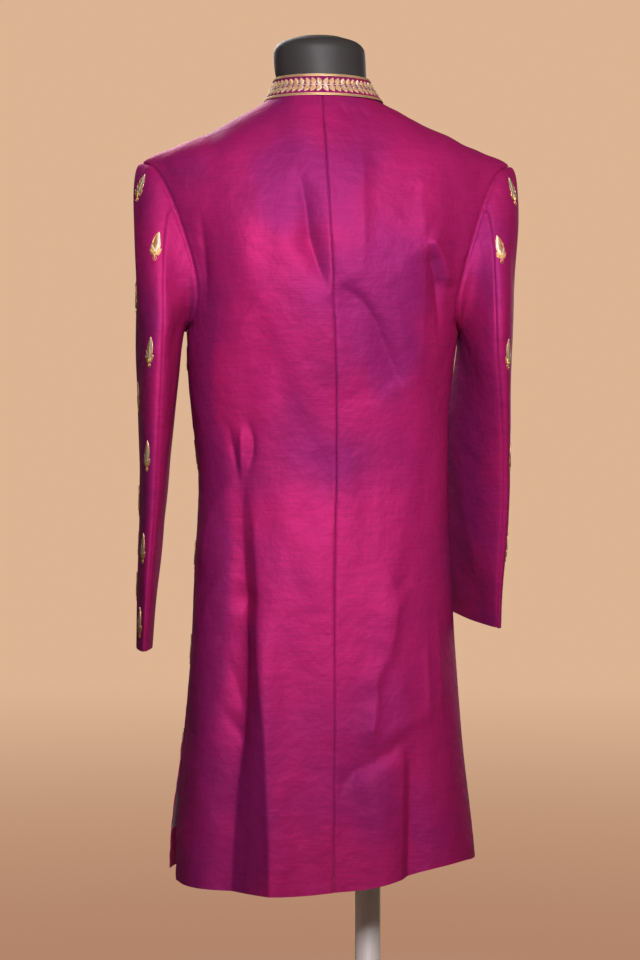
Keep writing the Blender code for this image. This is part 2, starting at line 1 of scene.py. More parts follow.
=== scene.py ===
# A raw-silk sherwani coat on a limbless dress form, in a plain studio. Metres, +Z up;
# the coat faces -Y and its wearer's left is +X.
import math

import bmesh
import bpy
import numpy as np
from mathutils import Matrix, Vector
from mathutils.bvhtree import BVHTree


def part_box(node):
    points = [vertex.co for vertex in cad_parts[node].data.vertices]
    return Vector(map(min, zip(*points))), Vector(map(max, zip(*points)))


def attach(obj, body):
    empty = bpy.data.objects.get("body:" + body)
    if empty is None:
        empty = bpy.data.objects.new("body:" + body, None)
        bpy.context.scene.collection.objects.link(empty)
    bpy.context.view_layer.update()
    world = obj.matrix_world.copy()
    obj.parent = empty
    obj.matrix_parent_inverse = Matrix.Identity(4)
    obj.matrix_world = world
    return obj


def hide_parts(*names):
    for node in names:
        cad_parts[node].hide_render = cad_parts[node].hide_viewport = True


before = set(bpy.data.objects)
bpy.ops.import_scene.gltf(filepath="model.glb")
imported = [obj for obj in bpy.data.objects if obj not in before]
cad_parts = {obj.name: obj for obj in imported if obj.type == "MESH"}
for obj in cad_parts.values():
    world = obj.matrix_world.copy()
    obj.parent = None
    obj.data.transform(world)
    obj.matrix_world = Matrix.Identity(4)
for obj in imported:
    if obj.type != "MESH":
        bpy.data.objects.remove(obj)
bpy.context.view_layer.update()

# ======================================================================================
# The room
# A studio hung with peach cloth: a pale painted floor that runs out into the lit cloth,
# a large soft lamp high behind the coat, and weaker ones round it.
PEACH = (0.72, 0.46, 0.295)
PEACH_DIM = (0.30, 0.19, 0.125)
# the floor's glow near the coat, darker: painted shade
PEACH_PAINTED_SHADE = (0.42, 0.215, 0.130)
FLOOR_PAINT = (0.66, 0.52, 0.42)
CLOTH_LIGHT = 0.09        # how much of its own brightness the cloth lends to the room
CLOTH_TURN = (-0.75, 0.55)  # a heading's Y where the cloth is still bright and where it is dim
GLOW_REACH = (0.5, 9.0)   # metres out over which the floor's glow goes from its painted shade near the coat to the cloth's colour far out
PAINT_REACH = (0.7, 2.1)  # metres out over which the paint gives way to the glow
FLOOR_RADIUS = 60.0
CAMERA_PLACE = (0.2383, 2.9454, 1.02)
CAMERA_TURN = 4.5         # degrees round from straight behind
FILM_HEIGHT = 36.0        # millimetres, as is the lens
LENS = 85.0
LAMPS = (                 # name, place, aim, width, height, spread in degrees, watts, colour
    ("key", (-0.06, 2.3, 2.05), (0.02, 0.0, 1.15), 0.6, 0.6, 64.0, 10.4, (1.0, 0.94, 0.98)),
    ("fill", (1.2, 2.6, 1.6), (0.0, 0.0, 1.1), 1.0, 1.4, 180.0, 1.2, (0.95, 0.80, 1.0)),
    ("front_key", (0.8, -2.4, 2.8), (0.0, 0.0, 1.1), 1.2, 1.4, 180.0, 60.0, (1.0, 0.95, 0.97)),
    ("front_fill", (-1.6, -2.4, 1.5), (0.0, 0.0, 1.0), 1.2, 1.6, 180.0, 16.0, (1.0, 0.95, 0.97)),
)


def new_material(name):
    """A material with nodes; gives it, its nodes, its links and its shader."""
    material = bpy.data.materials.new(name)
    material.use_nodes = True
    tree = material.node_tree
    return material, tree.nodes, tree.links, tree.nodes["Principled BSDF"]


def set_sockets(node, **values):
    """Constants set on a node's own sockets, spaces in their names as underscores."""
    for name, value in values.items():
        node.inputs[name.replace("_", " ")].default_value = value


def link_object(name, mesh):
    piece = bpy.data.objects.new(name, mesh)
    bpy.context.scene.collection.objects.link(piece)
    return piece


def smooth_blend(nodes, links, value, low, high, first, second):
    """Two colours, or a socket and a colour, blended where a value runs from low to high."""
    share = nodes.new("ShaderNodeMapRange")
    share.interpolation_type = "SMOOTHSTEP"
    set_sockets(share, From_Min=low, From_Max=high)
    links.new(value, share.inputs["Value"])
    blend = nodes.new("ShaderNodeMix")
    blend.data_type = "RGBA"
    links.new(share.outputs["Result"], blend.inputs["Factor"])
    for socket, colour in ((blend.inputs[6], first), (blend.inputs[7], second)):
        if isinstance(colour, tuple):
            socket.default_value = (*colour, 1.0)
        else:
            links.new(colour, socket)
    return blend.outputs[2]


def cloth_light(nodes, links, direction):
    """The lit cloth's colour in a direction: bright before the coat, dimmer behind it."""
    parts = nodes.new("ShaderNodeSeparateXYZ")
    links.new(direction, parts.inputs["Vector"])
    return smooth_blend(nodes, links, parts.outputs["Y"], *CLOTH_TURN, PEACH, PEACH_DIM)


def shown_strength(nodes, links):
    """Full strength where the cloth is seen, and less where it only lights the room."""
    ray = nodes.new("ShaderNodeLightPath")
    strength = nodes.new("ShaderNodeMapRange")
    set_sockets(strength, To_Min=CLOTH_LIGHT, To_Max=1.0)
    links.new(ray.outputs["Is Camera Ray"], strength.inputs["Value"])
    return strength.outputs["Result"]


floor_mesh = bpy.data.meshes.new("floor")
floor_builder = bmesh.new()
bmesh.ops.create_circle(floor_builder, cap_ends=True, segments=96, radius=FLOOR_RADIUS)
floor_builder.to_mesh(floor_mesh)
floor_builder.free()
floor = link_object("floor", floor_mesh)
floor_paint, nodes, links, shader = new_material("floor_paint")
set_sockets(shader, Base_Color=(*FLOOR_PAINT, 1.0), Roughness=0.85)
place = nodes.new("ShaderNodeNewGeometry")
reach = nodes.new("ShaderNodeVectorMath")
reach.operation = "LENGTH"
links.new(place.outputs["Position"], reach.inputs[0])
heading = nodes.new("ShaderNodeVectorMath")
heading.operation = "NORMALIZE"
links.new(place.outputs["Position"], heading.inputs[0])
# Far out the floor glows in the lit cloth's colour; near the coat that glow is painted darker, as
# painted shade.
glow = nodes.new("ShaderNodeEmission")
far = cloth_light(nodes, links, heading.outputs["Vector"])
shaded_glow = smooth_blend(nodes, links, reach.outputs["Value"], *GLOW_REACH, PEACH_PAINTED_SHADE, far)
links.new(shaded_glow, glow.inputs["Color"])
links.new(shown_strength(nodes, links), glow.inputs["Strength"])
fade = nodes.new("ShaderNodeMapRange")
fade.interpolation_type = "SMOOTHSTEP"
set_sockets(fade, From_Min=PAINT_REACH[0], From_Max=PAINT_REACH[1])
links.new(reach.outputs["Value"], fade.inputs["Value"])
mixed = nodes.new("ShaderNodeMixShader")
links.new(fade.outputs["Result"], mixed.inputs["Fac"])
links.new(shader.outputs["BSDF"], mixed.inputs[1])
links.new(glow.outputs["Emission"], mixed.inputs[2])
links.new(mixed.outputs["Shader"], nodes["Material Output"].inputs["Surface"])
floor.data.materials.append(floor_paint)

air = bpy.data.worlds.new("air")
air.use_nodes = True
nodes, links = air.node_tree.nodes, air.node_tree.links
heading = nodes.new("ShaderNodeTexCoord")
links.new(cloth_light(nodes, links, heading.outputs["Generated"]), nodes["Background"].inputs["Color"])
links.new(shown_strength(nodes, links), nodes["Background"].inputs["Strength"])
bpy.context.scene.world = air
bpy.context.scene.view_settings.view_transform = "Standard"

for name, spot, aim, width, height, spread, watts, colour in LAMPS:
    lamp = bpy.data.lights.new(name, "AREA")
    lamp.shape = "RECTANGLE"
    lamp.size = width
    lamp.size_y = height
    lamp.spread = math.radians(spread)
    lamp.energy = watts
    lamp.color = colour
    holder = bpy.data.objects.new(name, lamp)
    holder.location = spot
    holder.rotation_euler = (Vector(aim) - Vector(spot)).to_track_quat("-Z", "Y").to_euler()
    bpy.context.scene.collection.objects.link(holder)

eye = bpy.data.cameras.new("camera")
eye.sensor_fit = "VERTICAL"
eye.sensor_height = FILM_HEIGHT
eye.lens = LENS
camera = bpy.data.objects.new("camera", eye)
camera.location = CAMERA_PLACE
camera.rotation_euler = (math.radians(90), 0.0, math.radians(180 - CAMERA_TURN))
bpy.context.scene.collection.objects.link(camera)
bpy.context.scene.camera = camera

# ======================================================================================
# The stand
# A steel tube on a round black plate, held by a cast socket below and a flange under the
# form. The tube is brushed along its length, the plate is powder coated.
POLE_X = -0.056
POLE_RADIUS = 0.0165
POLE_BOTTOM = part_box("pole")[0][2]
POLE_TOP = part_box("pole")[1][2]
BASE_RADIUS = 0.165
BASE_THICKNESS = 0.010
TUBE_EDGE = 0.0006        # eased edges of the turned pieces
BASE_EDGE = 0.003
CASTING_GAP = 0.0003      # between the tube and the castings on it
CASTING_LIP = 0.004       # straight part at each end of a casting
CASTING_WAIST = 0.003     # how far a casting draws in between them
CASTING_LEVELS = 9
STEEL_DARK = (0.80, 0.75, 0.69)
STEEL_BRIGHT = (0.96, 0.93, 0.89)
BASE_BLACK = (0.012, 0.012, 0.013)


def ringed_mesh(name, rings, sharp, closed=False):
    """A mesh skinned over rings of points; its ends are capped, or meet if it is closed."""
    builder = bmesh.new()
    rings = [[builder.verts.new(point) for point in ring] for ring in rings]
    for lower, upper in zip(rings, rings[1:] + (rings[:1] if closed else [])):
        for i in range(len(lower)):
            j = (i + 1) % len(lower)
            builder.faces.new((lower[i], lower[j], upper[j], upper[i]))
    if not closed:
        builder.faces.new(rings[0][::-1])
        builder.faces.new(rings[-1])
    bmesh.ops.recalc_face_normals(builder, faces=builder.faces[:])
    mesh = bpy.data.meshes.new(name)
    builder.to_mesh(mesh)
    builder.free()
    mesh.shade_smooth()
    mesh.set_sharp_from_angle(angle=math.radians(sharp))
    return mesh


def turned_mesh(name, profile, sides=96, closed=False):
    """A mesh turned round the pole's axis from places of radius and height."""
    angles = [2 * math.pi * i / sides for i in range(sides)]
    rings = [[(POLE_X + radius * math.cos(angle), radius * math.sin(angle), height)
              for angle in angles] for radius, height in profile]
    return ringed_mesh(name, rings, 35, closed)


def round_profile(radius, low, high, edge):
    """A straight-sided profile with eased edges."""
    steps = [i / 5 * math.pi / 2 for i in range(6)]
    bottom = [(radius - edge + edge * math.sin(a), low + edge - edge * math.cos(a)) for a in steps]
    top = [(radius - edge + edge * math.cos(a), high - edge + edge * math.sin(a)) for a in steps]
    return bottom + top


def stretched_place(nodes, links, stretch):
    """Object-space coordinates drawn out by a stretch of their own in each direction."""
    place = nodes.new("ShaderNodeTexCoord")
    mapping = nodes.new("ShaderNodeMapping")
    set_sockets(mapping, Scale=stretch)
    links.new(place.outputs["Object"], mapping.inputs["Vector"])
    return mapping.outputs["Vector"]


def noise(nodes, links, vector, scale, detail=2.0, roughness=0.5):
    """A noise texture's value on coordinates, or on plain object space if they are None."""
    texture = nodes.new("ShaderNodeTexNoise")
    set_sockets(texture, Scale=scale, Detail=detail, Roughness=roughness)
    if vector is None:
        vector = nodes.new("ShaderNodeTexCoord").outputs["Object"]
    links.new(vector, texture.inputs["Vector"])
    return texture.outputs["Fac"]


def uneven_gloss(nodes, links, shader, value, low, high):
    """Roughness that wanders from low to high with a value."""
    rough = nodes.new("ShaderNodeMapRange")
    set_sockets(rough, To_Min=low, To_Max=high)
    links.new(value, rough.inputs["Value"])
    links.new(rough.outputs["Result"], shader.inputs["Roughness"])


def relief(nodes, links, shader, layers, strength=1.0):
    """Relief from several values, each with its own height in metres."""
    normal = None
    for value, height in layers:
        bump = nodes.new("ShaderNodeBump")
        set_sockets(bump, Strength=strength, Distance=height)
        links.new(value, bump.inputs["Height"])
        if normal is not None:
            links.new(normal, bump.inputs["Normal"])
        normal = bump.outputs["Normal"]
    links.new(normal, shader.inputs["Normal"])


steel, nodes, links, shader = new_material("brushed_steel")
set_sockets(shader, Metallic=0.20, Anisotropic=0.6, Anisotropic_Rotation=0.25)
grain = noise(nodes, links, stretched_place(nodes, links, (900.0, 900.0, 9.0)), 1.0, 4.0)
tone = nodes.new("ShaderNodeValToRGB")
tone.color_ramp.elements[0].color = (*STEEL_DARK, 1.0)
tone.color_ramp.elements[1].color = (*STEEL_BRIGHT, 1.0)
links.new(grain, tone.inputs["Fac"])
links.new(tone.outputs["Color"], shader.inputs["Base Color"])
uneven_gloss(nodes, links, shader, grain, 0.35, 0.55)
relief(nodes, links, shader, ((grain, 0.0002),), 0.25)

base_coat, nodes, links, shader = new_material("powder_coat")
set_sockets(shader, Base_Color=(*BASE_BLACK, 1.0), Roughness=0.5)
pebble = noise(nodes, links, None, 1400.0)
relief(nodes, links, shader, ((pebble, 0.0002),), 0.35)

pole = link_object("stand_pole", turned_mesh(
    "stand_pole", round_profile(POLE_RADIUS, POLE_BOTTOM, POLE_TOP, TUBE_EDGE)))
pole.data.materials.append(steel)
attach(pole, "root")
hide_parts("pole")

plate = link_object("stand_base", turned_mesh(
    "stand_base", round_profile(BASE_RADIUS, 0.0, BASE_THICKNESS, BASE_EDGE), sides=160))
plate.data.materials.append(base_coat)
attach(plate, "root")
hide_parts("base_plate")

for node, name, wide_low, wide_high in (("pole_socket", "stand_socket", 0.038, 0.025),
                                        ("form_flange", "stand_flange", 0.024, 0.045)):
    low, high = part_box(node)[0][2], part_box(node)[1][2]
    inner = POLE_RADIUS + CASTING_GAP
    bulge = [(wide_low, low), (wide_low, low + CASTING_LIP)]
    for i in range(1, CASTING_LEVELS):
        t = i / CASTING_LEVELS
        wide = wide_low + (wide_high - wide_low) * t
        bulge.append((wide - CASTING_WAIST * math.sin(math.pi * t),
                      low + CASTING_LIP + (high - low - 2 * CASTING_LIP) * t))
    bulge += [(wide_high, high - CASTING_LIP), (wide_high, high - TUBE_EDGE)]
    bulge += [(wide_high - TUBE_EDGE, high), (inner, high), (inner, low)]
    casting = link_object(name, turned_mesh(name, bulge, closed=True))
    casting.data.materials.append(steel)
    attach(casting, "root")
    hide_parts(node)

# ======================================================================================
# The dress form
# A limbless torso moulded in black plastic, its neck ending in a low dome. The coat hides
# all of it but the neck and the flat underside over the pole.
NECK_DEEP = -0.002        # middle of the neck, front to back
FORM_BOTTOM = 0.800
TORSO_TOP = 1.488         # the last ring of the torso; the neck's rings start above it
NECK_BOTTOM = 1.502
NECK_TOP = 1.5962
FORM_SIDES = 96
FORM_INSET = 0.020        # how far the form stands in from the coat's cloth
INSET_EASE = 0.008        # how much less it does at the shoulders
INSET_FROM = 1.30         # where that starts
CHEST_HALF = 0.158        # half the chest's width above the underarms, at most
SHOULDER_SPREAD = 0.052   # how much wider the shoulders may be
SPREAD_FROM = 1.33        # where that starts
SHOULDER_RUN = 0.08       # height over which both come about
EDGE_HEIGHT = 0.018       # the rounding of the underside's edge
EDGE_SHARE = 0.06
FORM_BLACK = (0.040, 0.037, 0.035)
# height, middle x, half width left, half width right, depth of back, depth of front: the
# coat's body level by level, which the form inside it follows
BODY = (
    (1.511, 0.008, 0.0785, 0.0750, 0.062, 0.066),
    (1.502, 0.008, 0.0915, 0.0880, 0.067, 0.074),
    (1.489, 0.008, 0.1160, 0.1160, 0.074, 0.083),
    (1.476, 0.008, 0.1395, 0.1410, 0.081, 0.090),
    (1.463, 0.007, 0.1660, 0.1690, 0.087, 0.096),
    (1.450, 0.007, 0.1990, 0.2050, 0.092, 0.102),
    (1.431, 0.006, 0.2370, 0.2420, 0.099, 0.108),
    (1.380, 0.004, 0.2050, 0.2120, 0.112, 0.118),
    (1.300, 0.001, 0.1850, 0.1850, 0.122, 0.128),
    (1.212, -0.003, 0.1800, 0.1740, 0.119, 0.128),
    (1.163, -0.005, 0.1790, 0.1670, 0.113, 0.122),
    (1.100, -0.006, 0.1730, 0.1600, 0.105, 0.114),
    (1.030, -0.006, 0.1650, 0.1580, 0.101, 0.110),
    (0.970, -0.005, 0.1655, 0.1600, 0.105, 0.113),
    (0.900, -0.003, 0.1695, 0.1640, 0.113, 0.120),
    (0.800, -0.002, 0.1740, 0.1700, 0.124, 0.130),
    (0.700, -0.001, 0.1830, 0.1770, 0.133, 0.138),
    (0.600, 0.000, 0.1920, 0.1870, 0.140, 0.144),
    (0.500, 0.001, 0.1950, 0.1960, 0.146, 0.149),
)
UNDERARM_HEIGHT = 1.212
FORM_CHEST = (            # height, depth of the chest under the dropped front of the neck
    (1.490, 0.046),
    (1.466, 0.050),
    (1.452, 0.055),
    (1.438, 0.064),
    (1.420, 0.078),
    (1.395, 0.094),
    (1.360, 0.106),
)
FORM_ROUNDNESS = (        # height, roundness: 1 is an ellipse, more is pinched
    (1.300, 1.00),
    (1.365, 1.06),
    (1.400, 1.22),
    (1.431, 1.32),
    (1.470, 1.22),
    (1.500, 1.00),
)
FORM_NECK = (             # height, half width, half depth, middle x
    (1.502, 0.0585, 0.0455, 0.0040),
    (1.520, 0.0586, 0.0455, 0.0042),
    (1.541, 0.0588, 0.0455, 0.0045),
    (1.552, 0.0596, 0.0460, 0.0058),
    (1.572, 0.0598, 0.0465, 0.0070),
    (1.582, 0.0578, 0.0452, 0.0074),
    (1.590, 0.0488, 0.0385, 0.0076),
    (1.596, 0.0300, 0.0235, 0.0076),
)


def along(table, key, column):
    """A column of a table at any keys, on a smooth curve through its rows."""
    rows = np.array(sorted(table))
    keys, values = rows[:, 0], rows[:, column]
    key = np.clip(key, keys[0], keys[-1])
    span = np.clip(np.searchsorted(keys, key) - 1, 0, len(keys) - 2)
    slopes = np.empty(len(keys))
    slopes[1:-1] = (values[2:] - values[:-2]) / (keys[2:] - keys[:-2])
    slopes[0] = (values[1] - values[0]) / (keys[1] - keys[0])
    slopes[-1] = (values[-1] - values[-2]) / (keys[-1] - keys[-2])
    width = keys[span + 1] - keys[span]
    t = (key - keys[span]) / width
    rise = values[span + 1] - values[span]
    return (values[span] + slopes[span] * width * (t - 2 * t ** 2 + t ** 3)
            + rise * (3 * t ** 2 - 2 * t ** 3) + slopes[span + 1] * width * (t ** 3 - t ** 2))


def smooth_step(value):
    value = np.clip(value, 0.0, 1.0)
    return value * value * (3.0 - 2.0 * value)


def form_ring(height):
    """One level of the torso, set in from the coat's cloth."""
    half = min(float(along(BODY, height, 2)), float(along(BODY, height, 3)))
    inset = FORM_INSET - INSET_EASE * float(smooth_step((height - INSET_FROM) / SHOULDER_RUN))
    if height > UNDERARM_HEIGHT:
        spread = SHOULDER_SPREAD * float(smooth_step((height - SPREAD_FROM) / SHOULDER_RUN))
        half = min(half, CHEST_HALF + spread)
    edge = max(0.0, 1.0 - (height - FORM_BOTTOM) / EDGE_HEIGHT)
    ease = 1.0 - EDGE_SHARE * edge * edge
    back = float(along(BODY, height, 4)) - inset
    front = float(along(BODY, height, 5)) - inset
    if height >= FORM_CHEST[-1][0]:
        front = float(along(FORM_CHEST, height, 1))
    power = float(along(FORM_ROUNDNESS, height, 1))
    ring = []
    for i in range(FORM_SIDES):
        angle = 2 * math.pi * i / FORM_SIDES
        out, deep = math.cos(angle), math.sin(angle)
        depth = back if deep > 0 else front
        ring.append(((half - inset) * ease * math.copysign(abs(out) ** power, out),
                     depth * ease * math.copysign(abs(deep) ** power, deep), height))
    return ring


form_rings = [form_ring(height) for height in np.linspace(FORM_BOTTOM, TORSO_TOP, 120)]
angles = [2 * math.pi * i / FORM_SIDES for i in range(FORM_SIDES)]
for height in np.linspace(NECK_BOTTOM, NECK_TOP, 70):
    across, deep, middle = (float(along(FORM_NECK, height, column)) for column in (1, 2, 3))
    form_rings.append([(middle + across * math.cos(angle), NECK_DEEP + deep * math.sin(angle), height)
                       for angle in angles])

black_shell, nodes, links, shader = new_material("black_shell")
set_sockets(shader, Base_Color=(*FORM_BLACK, 1.0), Specular_IOR_Level=0.32)
smear = noise(nodes, links, None, 38.0, 5.0, 0.6)
uneven_gloss(nodes, links, shader, smear, 0.46, 0.64)
grit = noise(nodes, links, None, 900.0)
relief(nodes, links, shader, ((grit, 0.0002),), 0.12)

form = link_object("dress_form", ringed_mesh("dress_form", form_rings, 40))
form.data.materials.append(black_shell)
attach(form, "root")
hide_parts("form_torso")

# ======================================================================================
# The two back panels
# Raw silk cut in a left and a right back, sewn together down the centre back from collar
# to hem; the sides are sewn to the fronts down to the slits, the hem is turned up.
CLOTH = 0.0018            # silk, interlining and lining
SEAM_GAP = 0.0003
NECK_HEIGHT = 1.511
FRONT_NECK_DROP = 0.060
SHOULDER_HEIGHT = 1.431
SLIT_TOP = 0.690
HEM_CORNER = 0.192
FRONT_FLARE = 0.007
FRONT_LAP = 0.022
LAP_STEP = 0.0030
LAP_RUN = 0.035           # beside the lap, where the under front comes back out
LAP_SHARE = 0.40          # share of the lap by which each front passes the middle
FLARE_RUN = 0.16
FLARE_ROW = 15
NECK_CURVE = 1.6          # how sharply rows rise from the centre to the shoulder
ARMHOLE_OUT = (0.58, 0.42)    # share down the armhole where it heads for the side, and its run
ROW_EASE = (0.82, 0.16)   # turn at which rows stop being eased into each other, and its run
FOLD_END = (0.80, 0.20)   # the same for where folds die away towards the sides
CREASE_END = (0.93, 0.07)
EDGE_WAVES = 0.25         # share of the cloth's waves that is left at the sides
# reach across the seam, size and length of the gathers
SIDE_GATHERS = (0.014, 0.00055, 0.016)
CENTRE_GATHERS = (0.012, 0.00045, 0.018)
NECK_GATHERS = (0.010, 0.00045, 0.011)
HEM_GATHERS = (0.010, 0.00040, 0.020)
# depth and reach of the dip along a seam
CENTRE_DIP = (0.0012, 0.0016)
SIDE_DIP = (0.0010, 0.0026)
ARMHOLE_DIP = (0.0007, 0.0014)
DIP_PLACE = 0.0020        # how far in from the seam the armhole's dip runs
SLIT_BLEND = 0.01         # above and below the slit's top, where the side seam's dip fades
GATHER_SLANT = 0.3        # how far the gathers below the shoulder seam slant
BACK_GRID = (7, 132)      # fine rows to each row of the pattern, and columns
FRONT_GRID = (5, 84)
HEM_ROWS = 6              # fine rows of silk that are turned up inside the hem
ARMHOLE_FLAT = 0.004      # flat strip that the sleeve is sewn to
YOKE_ROWS, ARMHOLE_ROWS, SIDE_ROWS = 5, 9, 16
LAST_ROW = YOKE_ROWS + ARMHOLE_ROWS + SIDE_ROWS
ARMHOLE = (               # share down, out from middle, depth of back edge, of front edge, drop
    (0.00, 1.000, 0.000, 0.000, 0.000),
    (0.11, 0.940, 0.024, 0.025, 0.045),
    (0.22, 0.880, 0.041, 0.044, 0.150),
    (0.36, 0.815, 0.054, 0.060, 0.320),
    (0.58, 0.735, 0.062, 0.070, 0.600),
    (0.76, 0.702, 0.058, 0.068, 0.800),
    (0.90, 0.716, 0.036, 0.042, 0.935),
    (1.00, 0.746, 0.000, 0.000, 1.000),
)
SLIT = (                  # height, how far back and front edges stand from the side line
    (SLIT_TOP, 0.000, 0.000),
    (0.640, 0.006, 0.008),
    (0.580, 0.017, 0.020),
    (0.500, 0.030, 0.034),
)
FRONT_HEM = (             # across the coat, height of the hem
    (-0.190, 0.540),
    (-0.100, 0.528),
    (0.000, 0.514),
    (0.190, 0.512),
)
BACK_HEM = (
    (-0.199, 0.533),
    (-0.164, 0.536),
    (-0.124, 0.531),
    (-0.090, 0.522),
    (-0.045, 0.512),
    (0.000, 0.508),
    (0.056, 0.504),
    (0.192, 0.507),
)
ROUNDNESS = (             # row, roundness
    (0, 1.00),
    (3, 1.16),
    (5, 1.22),
    (7, 1.13),
    (9, 1.00),
    (12, 0.88),
    (30, 0.84),
)
# x and height of the upper end, the same of the lower end, width and depth at each end
# (below zero is a trough), fade at the upper end, fade at the lower end
BACK_FOLDS = (
    (0.036, 1.405, 0.030, 1.320, 0.016, 0.016, -0.0020, -0.0030, 0.3, 0.0),
    (0.030, 1.320, 0.004, 1.255, 0.016, 0.014, -0.0030, -0.0020, 0.0, 0.5),
    (-0.006, 1.270, -0.098, 1.140, 0.018, 0.018, -0.0025, -0.0030, 0.3, 0.3),
    (0.112, 1.400, 0.118, 1.230, 0.030, 0.034, 0.0030, 0.0050, 0.4, 0.5),
    (-0.118, 1.380, -0.112, 1.250, 0.024, 0.024, 0.0030, 0.0040, 0.4, 0.5),
    (0.114, 1.040, 0.112, 0.870, 0.012, 0.016, -0.0030, -0.0060, 0.3, 0.0),
    (0.112, 0.870, 0.130, 0.500, 0.016, 0.028, -0.0060, -0.0130, 0.0, 0.0),
    (0.092, 0.960, 0.080, 0.500, 0.018, 0.026, 0.0020, 0.0070, 0.4, 0.0),
    (0.160, 0.920, 0.166, 0.500, 0.022, 0.024, 0.0020, 0.0060, 0.4, 0.0),
    (-0.092, 0.860, -0.036, 0.690, 0.018, 0.024, -0.0025, -0.0025, 0.4, 0.4),
    (-0.094, 0.740, -0.100, 0.500, 0.016, 0.022, -0.0020, -0.0070, 0.5, 0.0),
    (-0.058, 0.760, -0.062, 0.500, 0.020, 0.026, 0.0010, 0.0040, 0.5, 0.0),
    (-0.140, 0.740, -0.150, 0.500, 0.026, 0.030, 0.0020, 0.0060, 0.5, 0.0),
)
